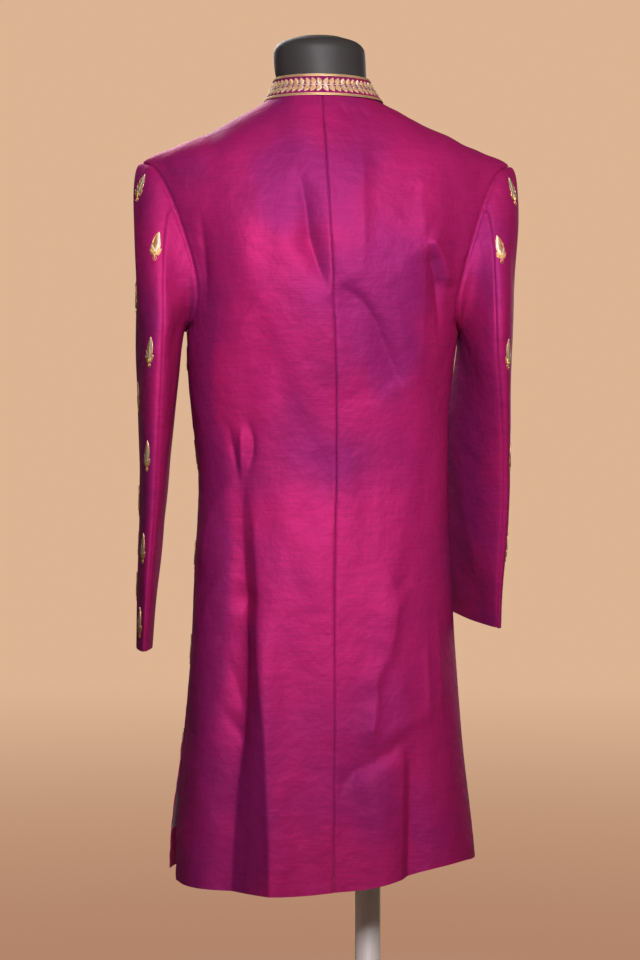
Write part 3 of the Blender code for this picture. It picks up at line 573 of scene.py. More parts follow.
# the sharp ones: width on the left side, on the right side, and the line from its upper to
# its lower end in places of x, height and lift (below zero is a valley)
BACK_CREASES = (
    (0.009, 0.045, ((0.107, 1.030, 0.0), (0.098, 0.970, 0.0036), (0.094, 0.920, 0.0058),
        (0.092, 0.871, 0.0072), (0.092, 0.821, 0.0080), (0.088, 0.759, 0.0087),
        (0.083, 0.696, 0.0087), (0.081, 0.622, 0.0087), (0.079, 0.559, 0.0087),
        (0.078, 0.491, 0.0087))),
    (0.034, 0.009, ((0.109, 1.020, -0.0014), (0.114, 0.970, -0.0043), (0.113, 0.920, -0.0058),
        (0.112, 0.871, -0.0072), (0.110, 0.796, -0.0072), (0.112, 0.746, -0.0072),
        (0.117, 0.690, -0.0072), (0.125, 0.634, -0.0058), (0.131, 0.572, -0.0058),
        (0.136, 0.491, -0.0058))),
    (0.004, 0.004, ((0.114, 1.090, 0.0), (0.112, 1.070, 0.0043), (0.112, 1.045, 0.0043),
        (0.113, 1.018, 0.0))),
    (0.004, 0.004, ((0.128, 1.085, -0.0014), (0.124, 1.064, -0.0036), (0.120, 1.042, -0.0036),
        (0.114, 1.018, 0.0))),
    (0.004, 0.003, ((0.104, 1.092, -0.0014), (0.098, 1.072, -0.0043), (0.099, 1.051, -0.0043),
        (0.108, 1.022, 0.0))),
    (0.005, 0.022, ((0.118, 1.022, 0.0), (0.135, 1.001, 0.0036), (0.150, 0.980, 0.0051),
        (0.158, 0.939, 0.0043), (0.166, 0.895, 0.0))),
    (0.006, 0.016, ((0.117, 0.913, 0.0), (0.140, 0.893, 0.0036), (0.154, 0.867, 0.0043),
        (0.162, 0.821, 0.0))),
    (0.005, 0.005, ((0.113, 0.848, 0.0), (0.124, 0.838, -0.0023), (0.140, 0.821, -0.0029),
        (0.150, 0.801, 0.0))),
    (0.005, 0.008, ((0.150, 0.746, 0.0), (0.133, 0.719, -0.0029), (0.118, 0.696, -0.0032),
        (0.113, 0.686, 0.0))),
    (0.008, 0.008, ((0.140, 0.808, 0.0), (0.129, 0.776, -0.0026), (0.120, 0.746, -0.0022),
        (0.118, 0.726, 0.0))),
    (0.004, 0.004, ((-0.105, 0.899, 0.0), (-0.094, 0.893, -0.0032), (-0.084, 0.885, -0.0029),
        (-0.081, 0.881, 0.0))),
    (0.030, 0.008, ((-0.105, 0.885, 0.0), (-0.090, 0.871, 0.0036), (-0.081, 0.856, 0.0058),
        (-0.079, 0.831, 0.0052), (-0.072, 0.802, 0.0052), (-0.055, 0.768, 0.0064),
        (-0.056, 0.744, 0.0052), (-0.048, 0.704, 0.0061), (-0.052, 0.681, 0.0))),
    (0.009, 0.009, ((-0.133, 0.734, 0.0), (-0.100, 0.716, 0.0035), (-0.076, 0.704, 0.0035),
        (-0.059, 0.693, 0.0))),
    (0.009, 0.007, ((-0.096, 0.699, 0.0), (-0.073, 0.681, -0.0046), (-0.053, 0.668, -0.0055),
        (-0.029, 0.658, -0.0052), (-0.015, 0.643, -0.0038), (-0.004, 0.619, 0.0))),
    (0.024, 0.007, ((-0.088, 0.694, 0.0), (-0.088, 0.661, 0.0043), (-0.087, 0.622, 0.0058),
        (-0.087, 0.572, 0.0043), (-0.086, 0.516, 0.0043))),
    (0.008, 0.014, ((-0.096, 0.690, 0.0), (-0.099, 0.646, -0.0043), (-0.099, 0.597, -0.0058),
        (-0.098, 0.547, -0.0072), (-0.097, 0.510, -0.0072))),
    (0.005, 0.006, ((-0.123, 0.821, 0.0), (-0.121, 0.790, 0.0023), (-0.123, 0.746, 0.0023),
        (-0.121, 0.709, 0.0))),
    (0.005, 0.006, ((-0.139, 0.871, 0.0), (-0.138, 0.821, 0.0020), (-0.140, 0.759, 0.0020),
        (-0.143, 0.696, 0.0))),
    (0.010, 0.008, ((0.041, 1.412, 0.0), (0.034, 1.369, -0.0043), (0.029, 1.325, -0.0052),
        (0.019, 1.291, -0.0052), (0.005, 1.254, 0.0))),
    (0.007, 0.009, ((0.164, 1.362, 0.0), (0.162, 1.325, -0.0049), (0.159, 1.281, -0.0052),
        (0.156, 1.232, 0.0))),
    (0.010, 0.026, ((0.058, 1.286, 0.0), (0.089, 1.248, 0.0035), (0.109, 1.219, 0.0038),
        (0.119, 1.182, 0.0))),
    (0.014, 0.016, ((-0.038, 1.474, 0.0), (-0.041, 1.418, 0.0032), (-0.041, 1.331, 0.0035),
        (-0.036, 1.263, 0.0))),
    (0.030, 0.007, ((-0.001, 1.268, 0.0), (-0.021, 1.257, -0.0046), (-0.038, 1.245, -0.0052),
        (-0.055, 1.220, -0.0052), (-0.069, 1.187, -0.0049), (-0.084, 1.153, -0.0049),
        (-0.103, 1.125, 0.0))),
    (0.018, 0.020, ((-0.110, 1.431, 0.0), (-0.115, 1.356, 0.0035), (-0.119, 1.269, 0.0038),
        (-0.115, 1.182, 0.0035), (-0.110, 1.138, 0.0))),
    (0.005, 0.014, ((-0.118, 1.324, 0.0), (-0.127, 1.319, 0.0066), (-0.138, 1.301, 0.0072),
        (-0.149, 1.276, 0.0056), (-0.152, 1.264, 0.0))),
    (0.012, 0.005, ((-0.119, 1.314, 0.0), (-0.128, 1.296, -0.0080), (-0.138, 1.269, -0.0095),
        (-0.141, 1.238, -0.0063), (-0.139, 1.194, 0.0))),
    (0.006, 0.008, ((-0.062, 1.127, 0.0), (-0.081, 1.133, 0.0020), (-0.100, 1.139, 0.0020),
        (-0.125, 1.155, 0.0))),
    (0.004, 0.005, ((-0.004, 1.121, 0.0), (-0.021, 1.123, -0.0013), (-0.046, 1.127, -0.0013),
        (-0.068, 1.130, 0.0))),
    (0.004, 0.005, ((-0.004, 0.995, 0.0), (-0.021, 1.000, -0.0010), (-0.041, 1.003, 0.0))),
    (0.003, 0.003, ((-0.017, 1.497, -0.0014), (-0.020, 1.491, -0.0012), (-0.022, 1.483, 0.0))),
    (0.003, 0.003, ((-0.031, 1.494, -0.0017), (-0.032, 1.483, -0.0016), (-0.035, 1.468, 0.0))),
    (0.003, 0.003, ((-0.043, 1.494, -0.0014), (-0.047, 1.486, -0.0013), (-0.052, 1.476, 0.0))),
    (0.003, 0.004, ((-0.112, 1.399, 0.0), (-0.108, 1.386, -0.0014), (-0.102, 1.372, 0.0))),
)
CREASE_ROUND = 0.0016     # how tightly the silk folds over


def coat_edge(side, face, row):
    """Width, depth and height of the outer ends of rows: shoulder, armhole, side."""
    column = 2 if side > 0 else 3
    shoulder_z = NECK_HEIGHT + (SHOULDER_HEIGHT - NECK_HEIGHT) * row / YOKE_ROWS
    share = np.clip((row - YOKE_ROWS) / ARMHOLE_ROWS, 0.0, 1.0)
    armhole_z = SHOULDER_HEIGHT + (UNDERARM_HEIGHT - SHOULDER_HEIGHT) * along(ARMHOLE, share, 4)
    down = np.clip((row - YOKE_ROWS - ARMHOLE_ROWS) / SIDE_ROWS, 0.0, 1.0)
    hem = along(BACK_HEM if face > 0 else FRONT_HEM, side * HEM_CORNER, 1)
    side_z = UNDERARM_HEIGHT + (hem - UNDERARM_HEIGHT) * down
    in_armhole = (row > YOKE_ROWS) & (row <= YOKE_ROWS + ARMHOLE_ROWS)
    height = np.where(row <= YOKE_ROWS, shoulder_z, np.where(in_armhole, armhole_z, side_z))
    shoulder = along(BODY, SHOULDER_HEIGHT, column)
    underarm = along(BODY, UNDERARM_HEIGHT, column)
    armhole_x = shoulder * along(ARMHOLE, share, 1)
    heading_out = smooth_step((share - ARMHOLE_OUT[0]) / ARMHOLE_OUT[1])
    armhole_x += (underarm - shoulder * ARMHOLE[-1][1]) * heading_out
    side_x = along(BODY, height, column)
    if side > 0 > face:
        spread = smooth_step((SLIT_TOP - height) / FLARE_RUN) * (row > FLARE_ROW)
        side_x = side_x + FRONT_FLARE * spread
    width = np.where(in_armhole, armhole_x, side_x)
    opening = np.where(height < SLIT_TOP, along(SLIT, height, 1 if face > 0 else 2), 0.0)
    depth = np.where(in_armhole, along(ARMHOLE, share, 2 if face > 0 else 3), opening)
    return width, depth, height


def coat_point(side, face, row, turn):
    """Points of the coat's body; turn runs from 0 at the centre to 1 at the row's end."""
    row, turn = np.broadcast_arrays(np.asarray(row, float), np.asarray(turn, float))
    edge_x, edge_depth, edge_z = coat_edge(side, face, row)
    centre_z = edge_z
    if face < 0:
        centre_z = edge_z - FRONT_NECK_DROP * (1.0 - smooth_step(row / (2 * YOKE_ROWS)))
    depth = along(BODY, edge_z, 4 if face > 0 else 5)
    power = along(ROUNDNESS, row, 1)
    end = np.arccos(np.clip((edge_depth / depth) ** (1.0 / power), 0.0, 1.0))
    angle = end * turn
    sine = np.abs(np.sin(angle))
    x = side * np.sign(angle) * sine ** power * edge_x / np.sin(end) ** power
    y = face * depth * np.abs(np.cos(angle)) ** power
    z = centre_z + (edge_z - centre_z) * sine ** NECK_CURVE
    hem = BACK_HEM if face > 0 else FRONT_HEM
    down = np.clip((row - YOKE_ROWS - ARMHOLE_ROWS) / SIDE_ROWS, 0.0, 1.0)
    z = z + (along(hem, x, 1) - along(hem, side * HEM_CORNER, 1)) * down
    if face > 0:
        x = x + along(BODY, z, 1) * np.cos(angle) ** 2
    return np.stack((x, y, z), axis=-1)


def fold_lift(folds, x, z):
    """How far a table of folds lifts the cloth at places on the front or back."""
    total = np.zeros_like(x)
    for x0, z0, x1, z1, width0, width1, depth0, depth1, fade0, fade1 in folds:
        run_x, run_z = x1 - x0, z1 - z0
        length = math.hypot(run_x, run_z)
        share = ((x - x0) * run_x + (z - z0) * run_z) / length ** 2
        across = ((x - x0) * run_z - (z - z0) * run_x) / length
        inside = np.clip(share, 0.0, 1.0)
        width = width0 + (width1 - width0) * inside
        depth = depth0 + (depth1 - depth0) * inside
        beyond = (share - inside) * length
        if fade0:
            depth = depth * smooth_step(share / fade0)
        if fade1:
            depth = depth * smooth_step((1.0 - share) / fade1)
        total += depth * np.exp(-(across / width) ** 2 - (beyond / width) ** 2)
    return total


def crease_lift(creases, x, z):
    """How far a table of sharp creases lifts the cloth, each side of a crease in its own way."""
    total = np.zeros_like(x)
    for left, right, path in creases:
        nearest = np.full_like(x, 1e9)
        height = np.zeros_like(x)
        width = np.full_like(x, left)
        for (x0, z0, lift0), (x1, z1, lift1) in zip(path, path[1:]):
            run_x, run_z = x1 - x0, z1 - z0
            share = ((x - x0) * run_x + (z - z0) * run_z) / (run_x ** 2 + run_z ** 2)
            share = np.clip(share, 0.0, 1.0)
            off_x, off_z = x - x0 - share * run_x, z - z0 - share * run_z
            away = np.hypot(off_x, off_z)
            nearer = away < nearest
            nearest = np.where(nearer, away, nearest)
            height = np.where(nearer, lift0 + (lift1 - lift0) * share, height)
            on_left = run_x * off_z - run_z * off_x > 0
            width = np.where(nearer, np.where(on_left, left, right), width)
        total += height * np.exp(-(np.hypot(nearest, CREASE_ROUND) - CREASE_ROUND) / width)
    return total


def unit(vectors):
    """Vectors at a length of one."""
    return vectors / np.maximum(np.linalg.norm(vectors, axis=-1, keepdims=True), 1e-12)


def grid_normals(points, sense):
    """Normals of a grid of points, from its neighbours in both directions."""
    down = np.gradient(points, axis=0)
    across = np.gradient(points, axis=1)
    return unit(np.cross(across, down) * sense)


def waves(seed, x, z, count=26, shortest=0.035, longest=0.16, size=0.0032, slant=0.9, drawn=0.55):
    """Gentle unevenness of cloth that hangs: many low waves, slanting and drawn out downwards."""
    rng = np.random.default_rng(seed)
    total = np.zeros_like(x)
    for length in np.geomspace(shortest, longest, count):
        heading = rng.uniform(-slant, slant)
        phase = rng.uniform(0, 2 * math.pi)
        total += size * length * np.sin(
            2 * math.pi / length * (x * math.cos(heading) + drawn * z * math.sin(heading)) + phase)
    return total


def gathers(seed, run, away, reach, size, length):
    """Small gathers that stand across a seam and die away from it."""
    rng = np.random.default_rng(seed)
    total = np.zeros_like(run)
    for stretch in (0.71, 1.0, 1.53):
        total += np.sin(2 * math.pi * run / (length * stretch) + rng.uniform(0, 6.28))
    return size / 3 * total * np.exp(-away / reach)


def dies_away(value, start, run):
    """One before a start, nothing after a run beyond it, and a soft step between."""
    return 1.0 - smooth_step((value - start) / run)


def dip(depth, reach, away):
    """The groove that stitches pull into the cloth along a seam."""
    return depth * np.exp(-(away / reach) ** 2)


def seam_turns(columns):
    """Column places, with close ones where the cloth turns down into a seam."""
    close = np.array((0.0, 0.0028, 0.0062, 0.0105, 0.017, 0.026))
    first = 0.038
    middle = np.linspace(first, 1.0 - first, columns + 1 - 2 * len(close))
    return np.concatenate((close, middle, 1.0 - close[::-1]))


def cloth_wall(name, outer, normals, thickness, finishes, hem_turn=0):
    """A closed thin shell: an outer and an inner grid of points and their four borders."""
    inner = outer - normals * thickness
    rows, columns = outer.shape[:2]
    points = np.concatenate((outer.reshape(-1, 3), inner.reshape(-1, 3)))
    index = np.arange(rows * columns).reshape(rows, columns)
    quads = np.stack((index[:-1, :-1], index[1:, :-1], index[1:, 1:], index[:-1, 1:]), axis=-1)
    quads = quads.reshape(-1, 4)
    row, column = rows // 2, columns // 2
    facing = np.cross(outer[row + 1, column] - outer[row, column],
                      outer[row, column + 1] - outer[row, column])
    sense = np.dot(facing, normals[row, column])
    if sense < 0:
        quads = quads[:, ::-1]
    inner_quads = quads[:, ::-1] + rows * columns
    loop = np.concatenate((index[0, :-1], index[:-1, -1], index[-1, :0:-1], index[:0:-1, 0]))
    after = np.roll(loop, -1)
    far = rows * columns
    border = np.stack((loop, after, after + far, loop + far), axis=-1)
    if sense < 0:
        border = border[:, ::-1]
    faces = np.concatenate((quads, inner_quads, border))
    mesh = bpy.data.meshes.new(name)
    mesh.from_pydata(points.tolist(), [], faces.tolist())
    slots = np.zeros(len(faces), int)
    slots[len(quads):2 * len(quads)] = 1
    if hem_turn:
        quad_rows = np.repeat(np.arange(rows - 1), columns - 1)
        slots[len(quads):2 * len(quads)][quad_rows >= rows - 1 - hem_turn] = 0
    mesh.polygons.foreach_set("material_index", slots.tolist())
    mesh.shade_smooth()
    mesh.set_sharp_from_angle(angle=math.radians(50))
    mesh.update()
    piece = link_object(name, mesh)
    for finish in finishes:
        piece.data.materials.append(finish)
    return piece


MAGENTA = (0.375, 0.0125, 0.112)
# PURPLE serves both the random clouds of purple weft and the painted sheen
PURPLE = (0.240, 0.0115, 0.112)
# patches of painted sheen, purple painted where the silk's cool sheen shows most: x, height, half
# width, half height
PAINTED_SHEEN_PATCHES = (
    (-0.050, 1.275, 0.078, 0.120),
    (-0.085, 1.160, 0.045, 0.055),
    (0.150, 0.860, 0.034, 0.200),
    (0.168, 1.150, 0.024, 0.120),
    (-0.175, 0.990, 0.030, 0.140),
    (0.060, 1.380, 0.050, 0.060),
)
PATCH_EDGE = (0.2, 1.4)   # shares of a patch's half size between which it fades
PATCH_PAINTED_SHEEN = 0.68
CLOUD_PURPLE = 2.5
TURN_PAINTED_SHEEN = 0.45        # painted sheen: more purple painted where the cloth turns to the wearer's left
DYE_AND_SHEEN_RANGE = (1.05, 1.8)   # from all magenta to all purple
SLUB_RANGE = (0.30, 0.72)
SLUB_DARK = (0.62, 0.62, 0.66)
SLUB_BRIGHT = (1.30, 1.22, 1.25)
SLUB_SHARE = 0.25
LINING = (0.050, 0.003, 0.012)


def sum_of(nodes, links, first, factor, second):
    """A socket times a factor, plus another socket if there is one."""
    node = nodes.new("ShaderNodeMath")
    node.operation = "MULTIPLY_ADD" if second else "MULTIPLY"
    node.inputs[1].default_value = factor
    links.new(first, node.inputs[0])
    if second:
        links.new(second, node.inputs[2])
    return node.outputs["Value"]


silk, nodes, links, shader = new_material("raw_silk")
plain = stretched_place(nodes, links, (1.0, 1.0, 1.0))
slubs = noise(nodes, links, stretched_place(nodes, links, (30.0, 30.0, 900.0)), 1.0, 3.0, 0.6)
warp = noise(nodes, links, stretched_place(nodes, links, (900.0, 900.0, 26.0)), 1.0)
cloud = noise(nodes, links, plain, 5.5)
# the weft is more purple and shows in random clouds; on top of that, painted sheen adds purple in the
# listed patches and where the cloth turns to the wearer's left
facing = nodes.new("ShaderNodeNewGeometry")
parts = nodes.new("ShaderNodeSeparateXYZ")
links.new(facing.outputs["Normal"], parts.inputs["Vector"])
turned = sum_of(nodes, links, parts.outputs["X"], TURN_PAINTED_SHEEN, None)
dye_and_sheen = sum_of(nodes, links, cloud, CLOUD_PURPLE, turned)
for x, height, half_width, half_height in PAINTED_SHEEN_PATCHES:
    spread = nodes.new("ShaderNodeMapping")
    spread.inputs["Location"].default_value = (-x / half_width, 0.0, -height / half_height)
    spread.inputs["Scale"].default_value = (1.0 / half_width, 0.0, 1.0 / half_height)
    links.new(plain, spread.inputs["Vector"])
    away = nodes.new("ShaderNodeVectorMath")
    away.operation = "LENGTH"
    links.new(spread.outputs["Vector"], away.inputs[0])
    sheen_patch = nodes.new("ShaderNodeMapRange")
    sheen_patch.interpolation_type = "SMOOTHSTEP"
    set_sockets(sheen_patch, From_Min=PATCH_EDGE[0], From_Max=PATCH_EDGE[1], To_Min=PATCH_PAINTED_SHEEN, To_Max=0.0)
    links.new(away.outputs["Value"], sheen_patch.inputs["Value"])
    total = nodes.new("ShaderNodeMath")
    links.new(dye_and_sheen, total.inputs[0])
    links.new(sheen_patch.outputs["Result"], total.inputs[1])
    dye_and_sheen = total.outputs["Value"]
# magenta turning purple with the clouds and with the painted sheen
dyed_and_sheen = smooth_blend(nodes, links, dye_and_sheen, *DYE_AND_SHEEN_RANGE, MAGENTA, PURPLE)
streaked = nodes.new("ShaderNodeMix")
streaked.data_type = "RGBA"
streaked.blend_type = "MULTIPLY"
streaked.inputs["Factor"].default_value = SLUB_SHARE
links.new(dyed_and_sheen, streaked.inputs[6])
shades = smooth_blend(nodes, links, slubs, *SLUB_RANGE, SLUB_DARK, SLUB_BRIGHT)
links.new(shades, streaked.inputs[7])
links.new(streaked.outputs[2], shader.inputs["Base Color"])
set_sockets(shader, Metallic=0.25, Roughness=0.60, Specular_IOR_Level=0.25,
            Specular_Tint=(1.0, 0.35, 0.65, 1.0))
crush = noise(nodes, links, plain, 42.0, 3.0, 0.55)
relief(nodes, links, shader, ((crush, 0.0022), (warp, 0.00004), (slubs, 0.00010)))

lining, nodes, links, shader = new_material("lining")
set_sockets(shader, Base_Color=(*LINING, 1.0), Roughness=0.42, Sheen_Weight=0.2, Sheen_Roughness=0.5)


def row_lengths(points):
    """How far each point is from the start and from the end of its row of points."""
    steps = np.linalg.norm(np.diff(points, axis=1), axis=2)
    start = np.concatenate((np.zeros((len(points), 1)), np.cumsum(steps, axis=1)), axis=1)
    return start, start[:, -1:] - start


def column_lengths(points):
    start, end = row_lengths(points.transpose(1, 0, 2))
    return start.T, end.T


def eased(points, turns, reach=5):
    """Rows of points eased into each other, but for those near a seam or a hem."""
    weights = np.exp(-0.5 * (np.arange(-3 * reach, 3 * reach + 1) / reach) ** 2)
    weights /= weights.sum()
    padded = np.pad(points, ((3 * reach, 3 * reach), (0, 0), (0, 0)), mode="reflect",
                    reflect_type="odd")
    smooth = sum(weight * padded[k:k + len(points)] for k, weight in enumerate(weights))
    share = dies_away(turns, *ROW_EASE)
    return points + (smooth - points) * share[..., None]


def coat_panel(side, face, folds, creases, seed, rows_each, columns):
    """Outer points and outward normals of one front or back panel, folds and seams in."""
    rows = np.linspace(0, LAST_ROW, LAST_ROW * rows_each + 1)[:, None]
    turns = seam_turns(columns)[None, :]
    if face < 0:
        lap = -LAP_SHARE * FRONT_LAP / coat_edge(side, face, rows)[0]
        turns = lap + (1.0 - lap) * turns
    base = coat_point(side, face, rows, turns)
    base = eased(base, np.broadcast_to(turns, base.shape[:2]))
    normals = grid_normals(base, side * face)
    x, z = base[..., 0], base[..., 2]
    calm = dies_away(turns, *FOLD_END)
    lift = fold_lift(folds, x, z) * calm + crease_lift(creases, x, z) * dies_away(turns, *CREASE_END)
    lift += waves(seed, x, z) * (EDGE_WAVES + (1.0 - EDGE_WAVES) * calm)
    from_start, from_end = row_lengths(base)
    from_top, from_hem = column_lengths(base)
    lift += gathers(seed + 1, z, from_end, *SIDE_GATHERS)
    if face > 0:
        lift += gathers(seed + 2, z, from_start, *CENTRE_GATHERS)
        lift -= dip(*CENTRE_DIP, from_start)
    sewn = 1.0 - smooth_step((SLIT_TOP + SLIT_BLEND - z) / (2 * SLIT_BLEND))
    armhole = (rows > YOKE_ROWS) & (rows < YOKE_ROWS + ARMHOLE_ROWS)
    lift -= dip(*SIDE_DIP, from_end) * sewn * ~armhole
    lift += gathers(seed + 3, x + GATHER_SLANT * z, from_top, *NECK_GATHERS)
    lift += gathers(seed + 4, x, from_hem, *HEM_GATHERS)
    lift *= np.where(armhole, smooth_step(from_end / ARMHOLE_FLAT), 1.0)
    lift -= dip(*ARMHOLE_DIP, from_end - DIP_PLACE) * armhole
    points = base + normals * lift[..., None]
    seam = ~armhole[:, 0]
    normals[seam, -1, 1] = 0.0
    points[seam, -1, 1] += face * SEAM_GAP / 2
    if face > 0:
        normals[:, 0, 0] = 0.0
        points[:, 0, 0] += side * SEAM_GAP / 2
    normals = unit(normals)
    if face < 0 and side < 0:
        under = dies_away(-points[..., 0], FRONT_LAP, LAP_RUN)
        points = points - normals * (LAP_STEP * under)[..., None]
    return points, normals


def flat_size(points):
    """Width, length and area of a grid of cloth laid out flat."""
    steps = np.linalg.norm(np.diff(points, axis=1), axis=2)
    drops = np.linalg.norm(np.diff(points, axis=0), axis=2)
    area = float((0.5 * (steps[1:] + steps[:-1]) * 0.5 * (drops[:, 1:] + drops[:, :-1])).sum())
    return float(steps.sum(axis=1).max()), float(drops.sum(axis=0).max()), area


panels = {}
for name, side, seed in (("back_left", 1, 11), ("back_right", -1, 23)):
    points, normals = coat_panel(side, 1, BACK_FOLDS, BACK_CREASES, seed, *BACK_GRID)
    panels[name] = (points, normals)
    panel = cloth_wall("silk_" + name, points, normals, CLOTH, (silk, lining), HEM_ROWS)
    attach(panel, "root")
    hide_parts(name)
    width, length, area = flat_size(points)

# ======================================================================================
# The two front panels
# The same silk: the wearer's left front laps over the right one down the centre and is
# buttoned; both are let into the shoulder seams.
FRONT_FOLDS = (
    (0.085, 1.400, 0.060, 1.220, 0.022, 0.026, -0.0030, -0.0050, 0.4, 0.4),
    (-0.090, 1.390, -0.070, 1.230, 0.022, 0.026, -0.0030, -0.0045, 0.4, 0.4),
    (0.100, 1.090, 0.040, 1.010, 0.018, 0.018, -0.0030, -0.0030, 0.4, 0.4),
    (-0.110, 1.080, -0.050, 1.000, 0.018, 0.018, -0.0030, -0.0030, 0.4, 0.4),
    (0.095, 0.900, 0.105, 0.500, 0.022, 0.032, -0.0030, -0.0120, 0.3, 0.0),
    (-0.090, 0.880, -0.110, 0.500, 0.022, 0.032, -0.0030, -0.0100, 0.3, 0.0),
    (0.052, 0.820, 0.062, 0.500, 0.024, 0.028, 0.0020, 0.0060, 0.4, 0.0),
    (-0.140, 0.800, -0.150, 0.500, 0.024, 0.028, 0.0020, 0.0060, 0.4, 0.0),
)
FRONT_CREASES = (
    (0.014, 0.005, ((0.108, 1.318, 0.0), (0.116, 1.305, 0.0042), (0.130, 1.285, 0.0046),
        (0.146, 1.262, 0.0))),
    (0.005, 0.012, ((0.110, 1.312, 0.0), (0.124, 1.288, -0.0045), (0.136, 1.260, -0.005),
        (0.138, 1.215, 0.0))),
    (0.005, 0.014, ((-0.110, 1.322, 0.0), (-0.118, 1.308, 0.0040), (-0.132, 1.288, 0.0044),
        (-0.148, 1.264, 0.0))),
    (0.012, 0.005, ((-0.112, 1.314, 0.0), (-0.126, 1.290, -0.0045), (-0.138, 1.262, -0.005),
        (-0.140, 1.214, 0.0))),
    (0.007, 0.024, ((0.020, 1.262, 0.0), (0.052, 1.236, -0.0030), (0.078, 1.196, -0.0032),
        (0.102, 1.134, 0.0))),
    (0.022, 0.007, ((-0.030, 1.256, 0.0), (-0.060, 1.226, -0.0028), (-0.082, 1.184, -0.0030),
        (-0.100, 1.130, 0.0))),
    (0.005, 0.005, ((0.112, 1.085, 0.0), (0.104, 1.062, -0.0024), (0.098, 1.036, -0.0024),
        (0.096, 1.014, 0.0))),
    (0.005, 0.005, ((-0.106, 1.078, 0.0), (-0.100, 1.056, -0.0022), (-0.094, 1.030, -0.0022),
        (-0.090, 1.010, 0.0))),
    (0.036, 0.009, ((0.082, 1.010, 0.0), (0.078, 0.900, 0.0040), (0.074, 0.760, 0.0055),
        (0.076, 0.490, 0.0060))),
    (0.009, 0.030, ((0.096, 1.000, 0.0), (0.096, 0.900, -0.0040), (0.100, 0.760, -0.0050),
        (0.110, 0.490, -0.0040))),
    (0.009, 0.036, ((-0.078, 0.960, 0.0), (-0.074, 0.860, 0.0040), (-0.072, 0.720, 0.0050),
        (-0.076, 0.490, 0.0055))),
    (0.030, 0.009, ((-0.090, 0.960, 0.0), (-0.092, 0.860, -0.0036), (-0.096, 0.720, -0.0045),
        (-0.108, 0.490, -0.0040))),
    (0.008, 0.028, ((0.146, 0.900, 0.0), (0.140, 0.840, 0.0030), (0.148, 0.770, 0.0036),
        (0.150, 0.700, 0.0))),
    (0.008, 0.010, ((-0.130, 0.800, 0.0), (-0.118, 0.740, -0.0028), (-0.132, 0.690, -0.0030),
        (-0.150, 0.640, 0.0))),
)

for name, side, seed in (("front_left", 1, 37), ("front_right", -1, 51)):
    points, normals = coat_panel(side, -1, FRONT_FOLDS, FRONT_CREASES, seed, *FRONT_GRID)
    panels[name] = (points, normals)
    panel = cloth_wall("silk_" + name, points, normals, CLOTH, (silk, lining), HEM_ROWS)
    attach(panel, "root")
    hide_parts(name)
    width, length, area = flat_size(points)

# ======================================================================================
# The sleeves
# Each is cut in two, an upper and an under piece joined by a back and a front seam, and is
# set into the armhole. Silk with lining; the arms hang empty, so they lie nearly flat.
SLEEVE_TWIST = 0.115      # share of a turn by which the seams swing inwards below the armhole
BACK_SEAM = 3 / 18        # places round the armhole: 0 is the shoulder, 0.5 the underarm
FRONT_SEAM = 11 / 18
LEFT_SLEEVE = (           # height, middle x, y, half length, half thickness, turn, front lift
    (1.170, 0.2170, 0.002, 0.0870, 0.0275, 0.0, 0.000),
    (1.110, 0.2195, 0.001, 0.0855, 0.0235, 0.0, 0.001),
    (1.050, 0.2220, -0.003, 0.0830, 0.0200, 0.0, 0.002),
    (0.970, 0.2255, -0.010, 0.0790, 0.0170, 0.0, 0.003),
    (0.880, 0.2315, -0.017, 0.0745, 0.0125, 0.0, 0.004),
    (0.805, 0.2355, -0.022, 0.0700, 0.0095, 0.0, 0.004),
)
RIGHT_SLEEVE = (
    (1.170, 0.2095, -0.012, 0.0860, 0.0270, 8.0, 0.000),
    (1.110, 0.2060, -0.030, 0.0850, 0.0245, 16.0, 0.001),
    (1.050, 0.2040, -0.050, 0.0830, 0.0225, 22.0, 0.003),
    (0.970, 0.2050, -0.070, 0.0790, 0.0200, 24.0, 0.005),
    (0.890, 0.2075, -0.087, 0.0730, 0.0165, 22.0, 0.008),
    (0.833, 0.2125, -0.099, 0.0670, 0.0130, 19.0, 0.010),
)
SLEEVE_ROWS = 34          # fine rows over the sleeve head, and again as many per ROW_RUN below
ROW_RUN = 0.18
# how the sleeve head leaves the armhole: backwards, up at the underarm and at the shoulder, reach
HEAD_BACK = 0.35
HEAD_RISE = (-0.15, 0.25)
HEAD_REACH = 0.30
BELOW = 0.010             # how far down the arm the head's lower end takes its direction from
SLEEVE_BACK_GATHERS = (0.011, 0.00040, 0.015)
SLEEVE_FRONT_GATHERS = (0.011, 0.00040, 0.017)
HEAD_GATHERS = (0.016, 0.00060, 0.013)
HEAD_ROUND = 0.45         # metres round a sleeve's head, for its gathers
HEAD_DIP = (0.0005, 0.0014)
CREASE_SHIFT = (0.006, 0.02)  # how far the creases on a sleeve's front stand from those behind
HEAD_CALM = 0.05          # below the armhole, over which the waves come up
CUFF_TURN = 5             # fine rows of silk that are turned up inside the cuff
UPPER_COLUMNS, UNDER_COLUMNS = 76, 60
SLEEVE_SHARE = 0.8        # share of the waves, and of the creases on its front, that a sleeve has


def sleeve_ring(side, table, height, place):
    """Points of the sleeve's oval; place runs from the outer side over the back inwards."""
    middle_x, middle_y, length, thickness, turn, lift = (
        along(table, height, column) for column in range(1, 7))
    angle = np.radians(turn)
    zero = np.zeros_like(angle)
    backward = np.stack((side * np.sin(angle), np.cos(angle), -lift / length), axis=-1)
    outward = np.stack((side * np.cos(angle), -np.sin(angle), zero), axis=-1)
    swing = (2 * math.pi * (place + SLEEVE_TWIST))[..., None]
    middle = np.stack((side * middle_x, middle_y, height), axis=-1)
    return (middle + backward * length[..., None] * np.sin(swing)
            + outward * thickness[..., None] * np.cos(swing))


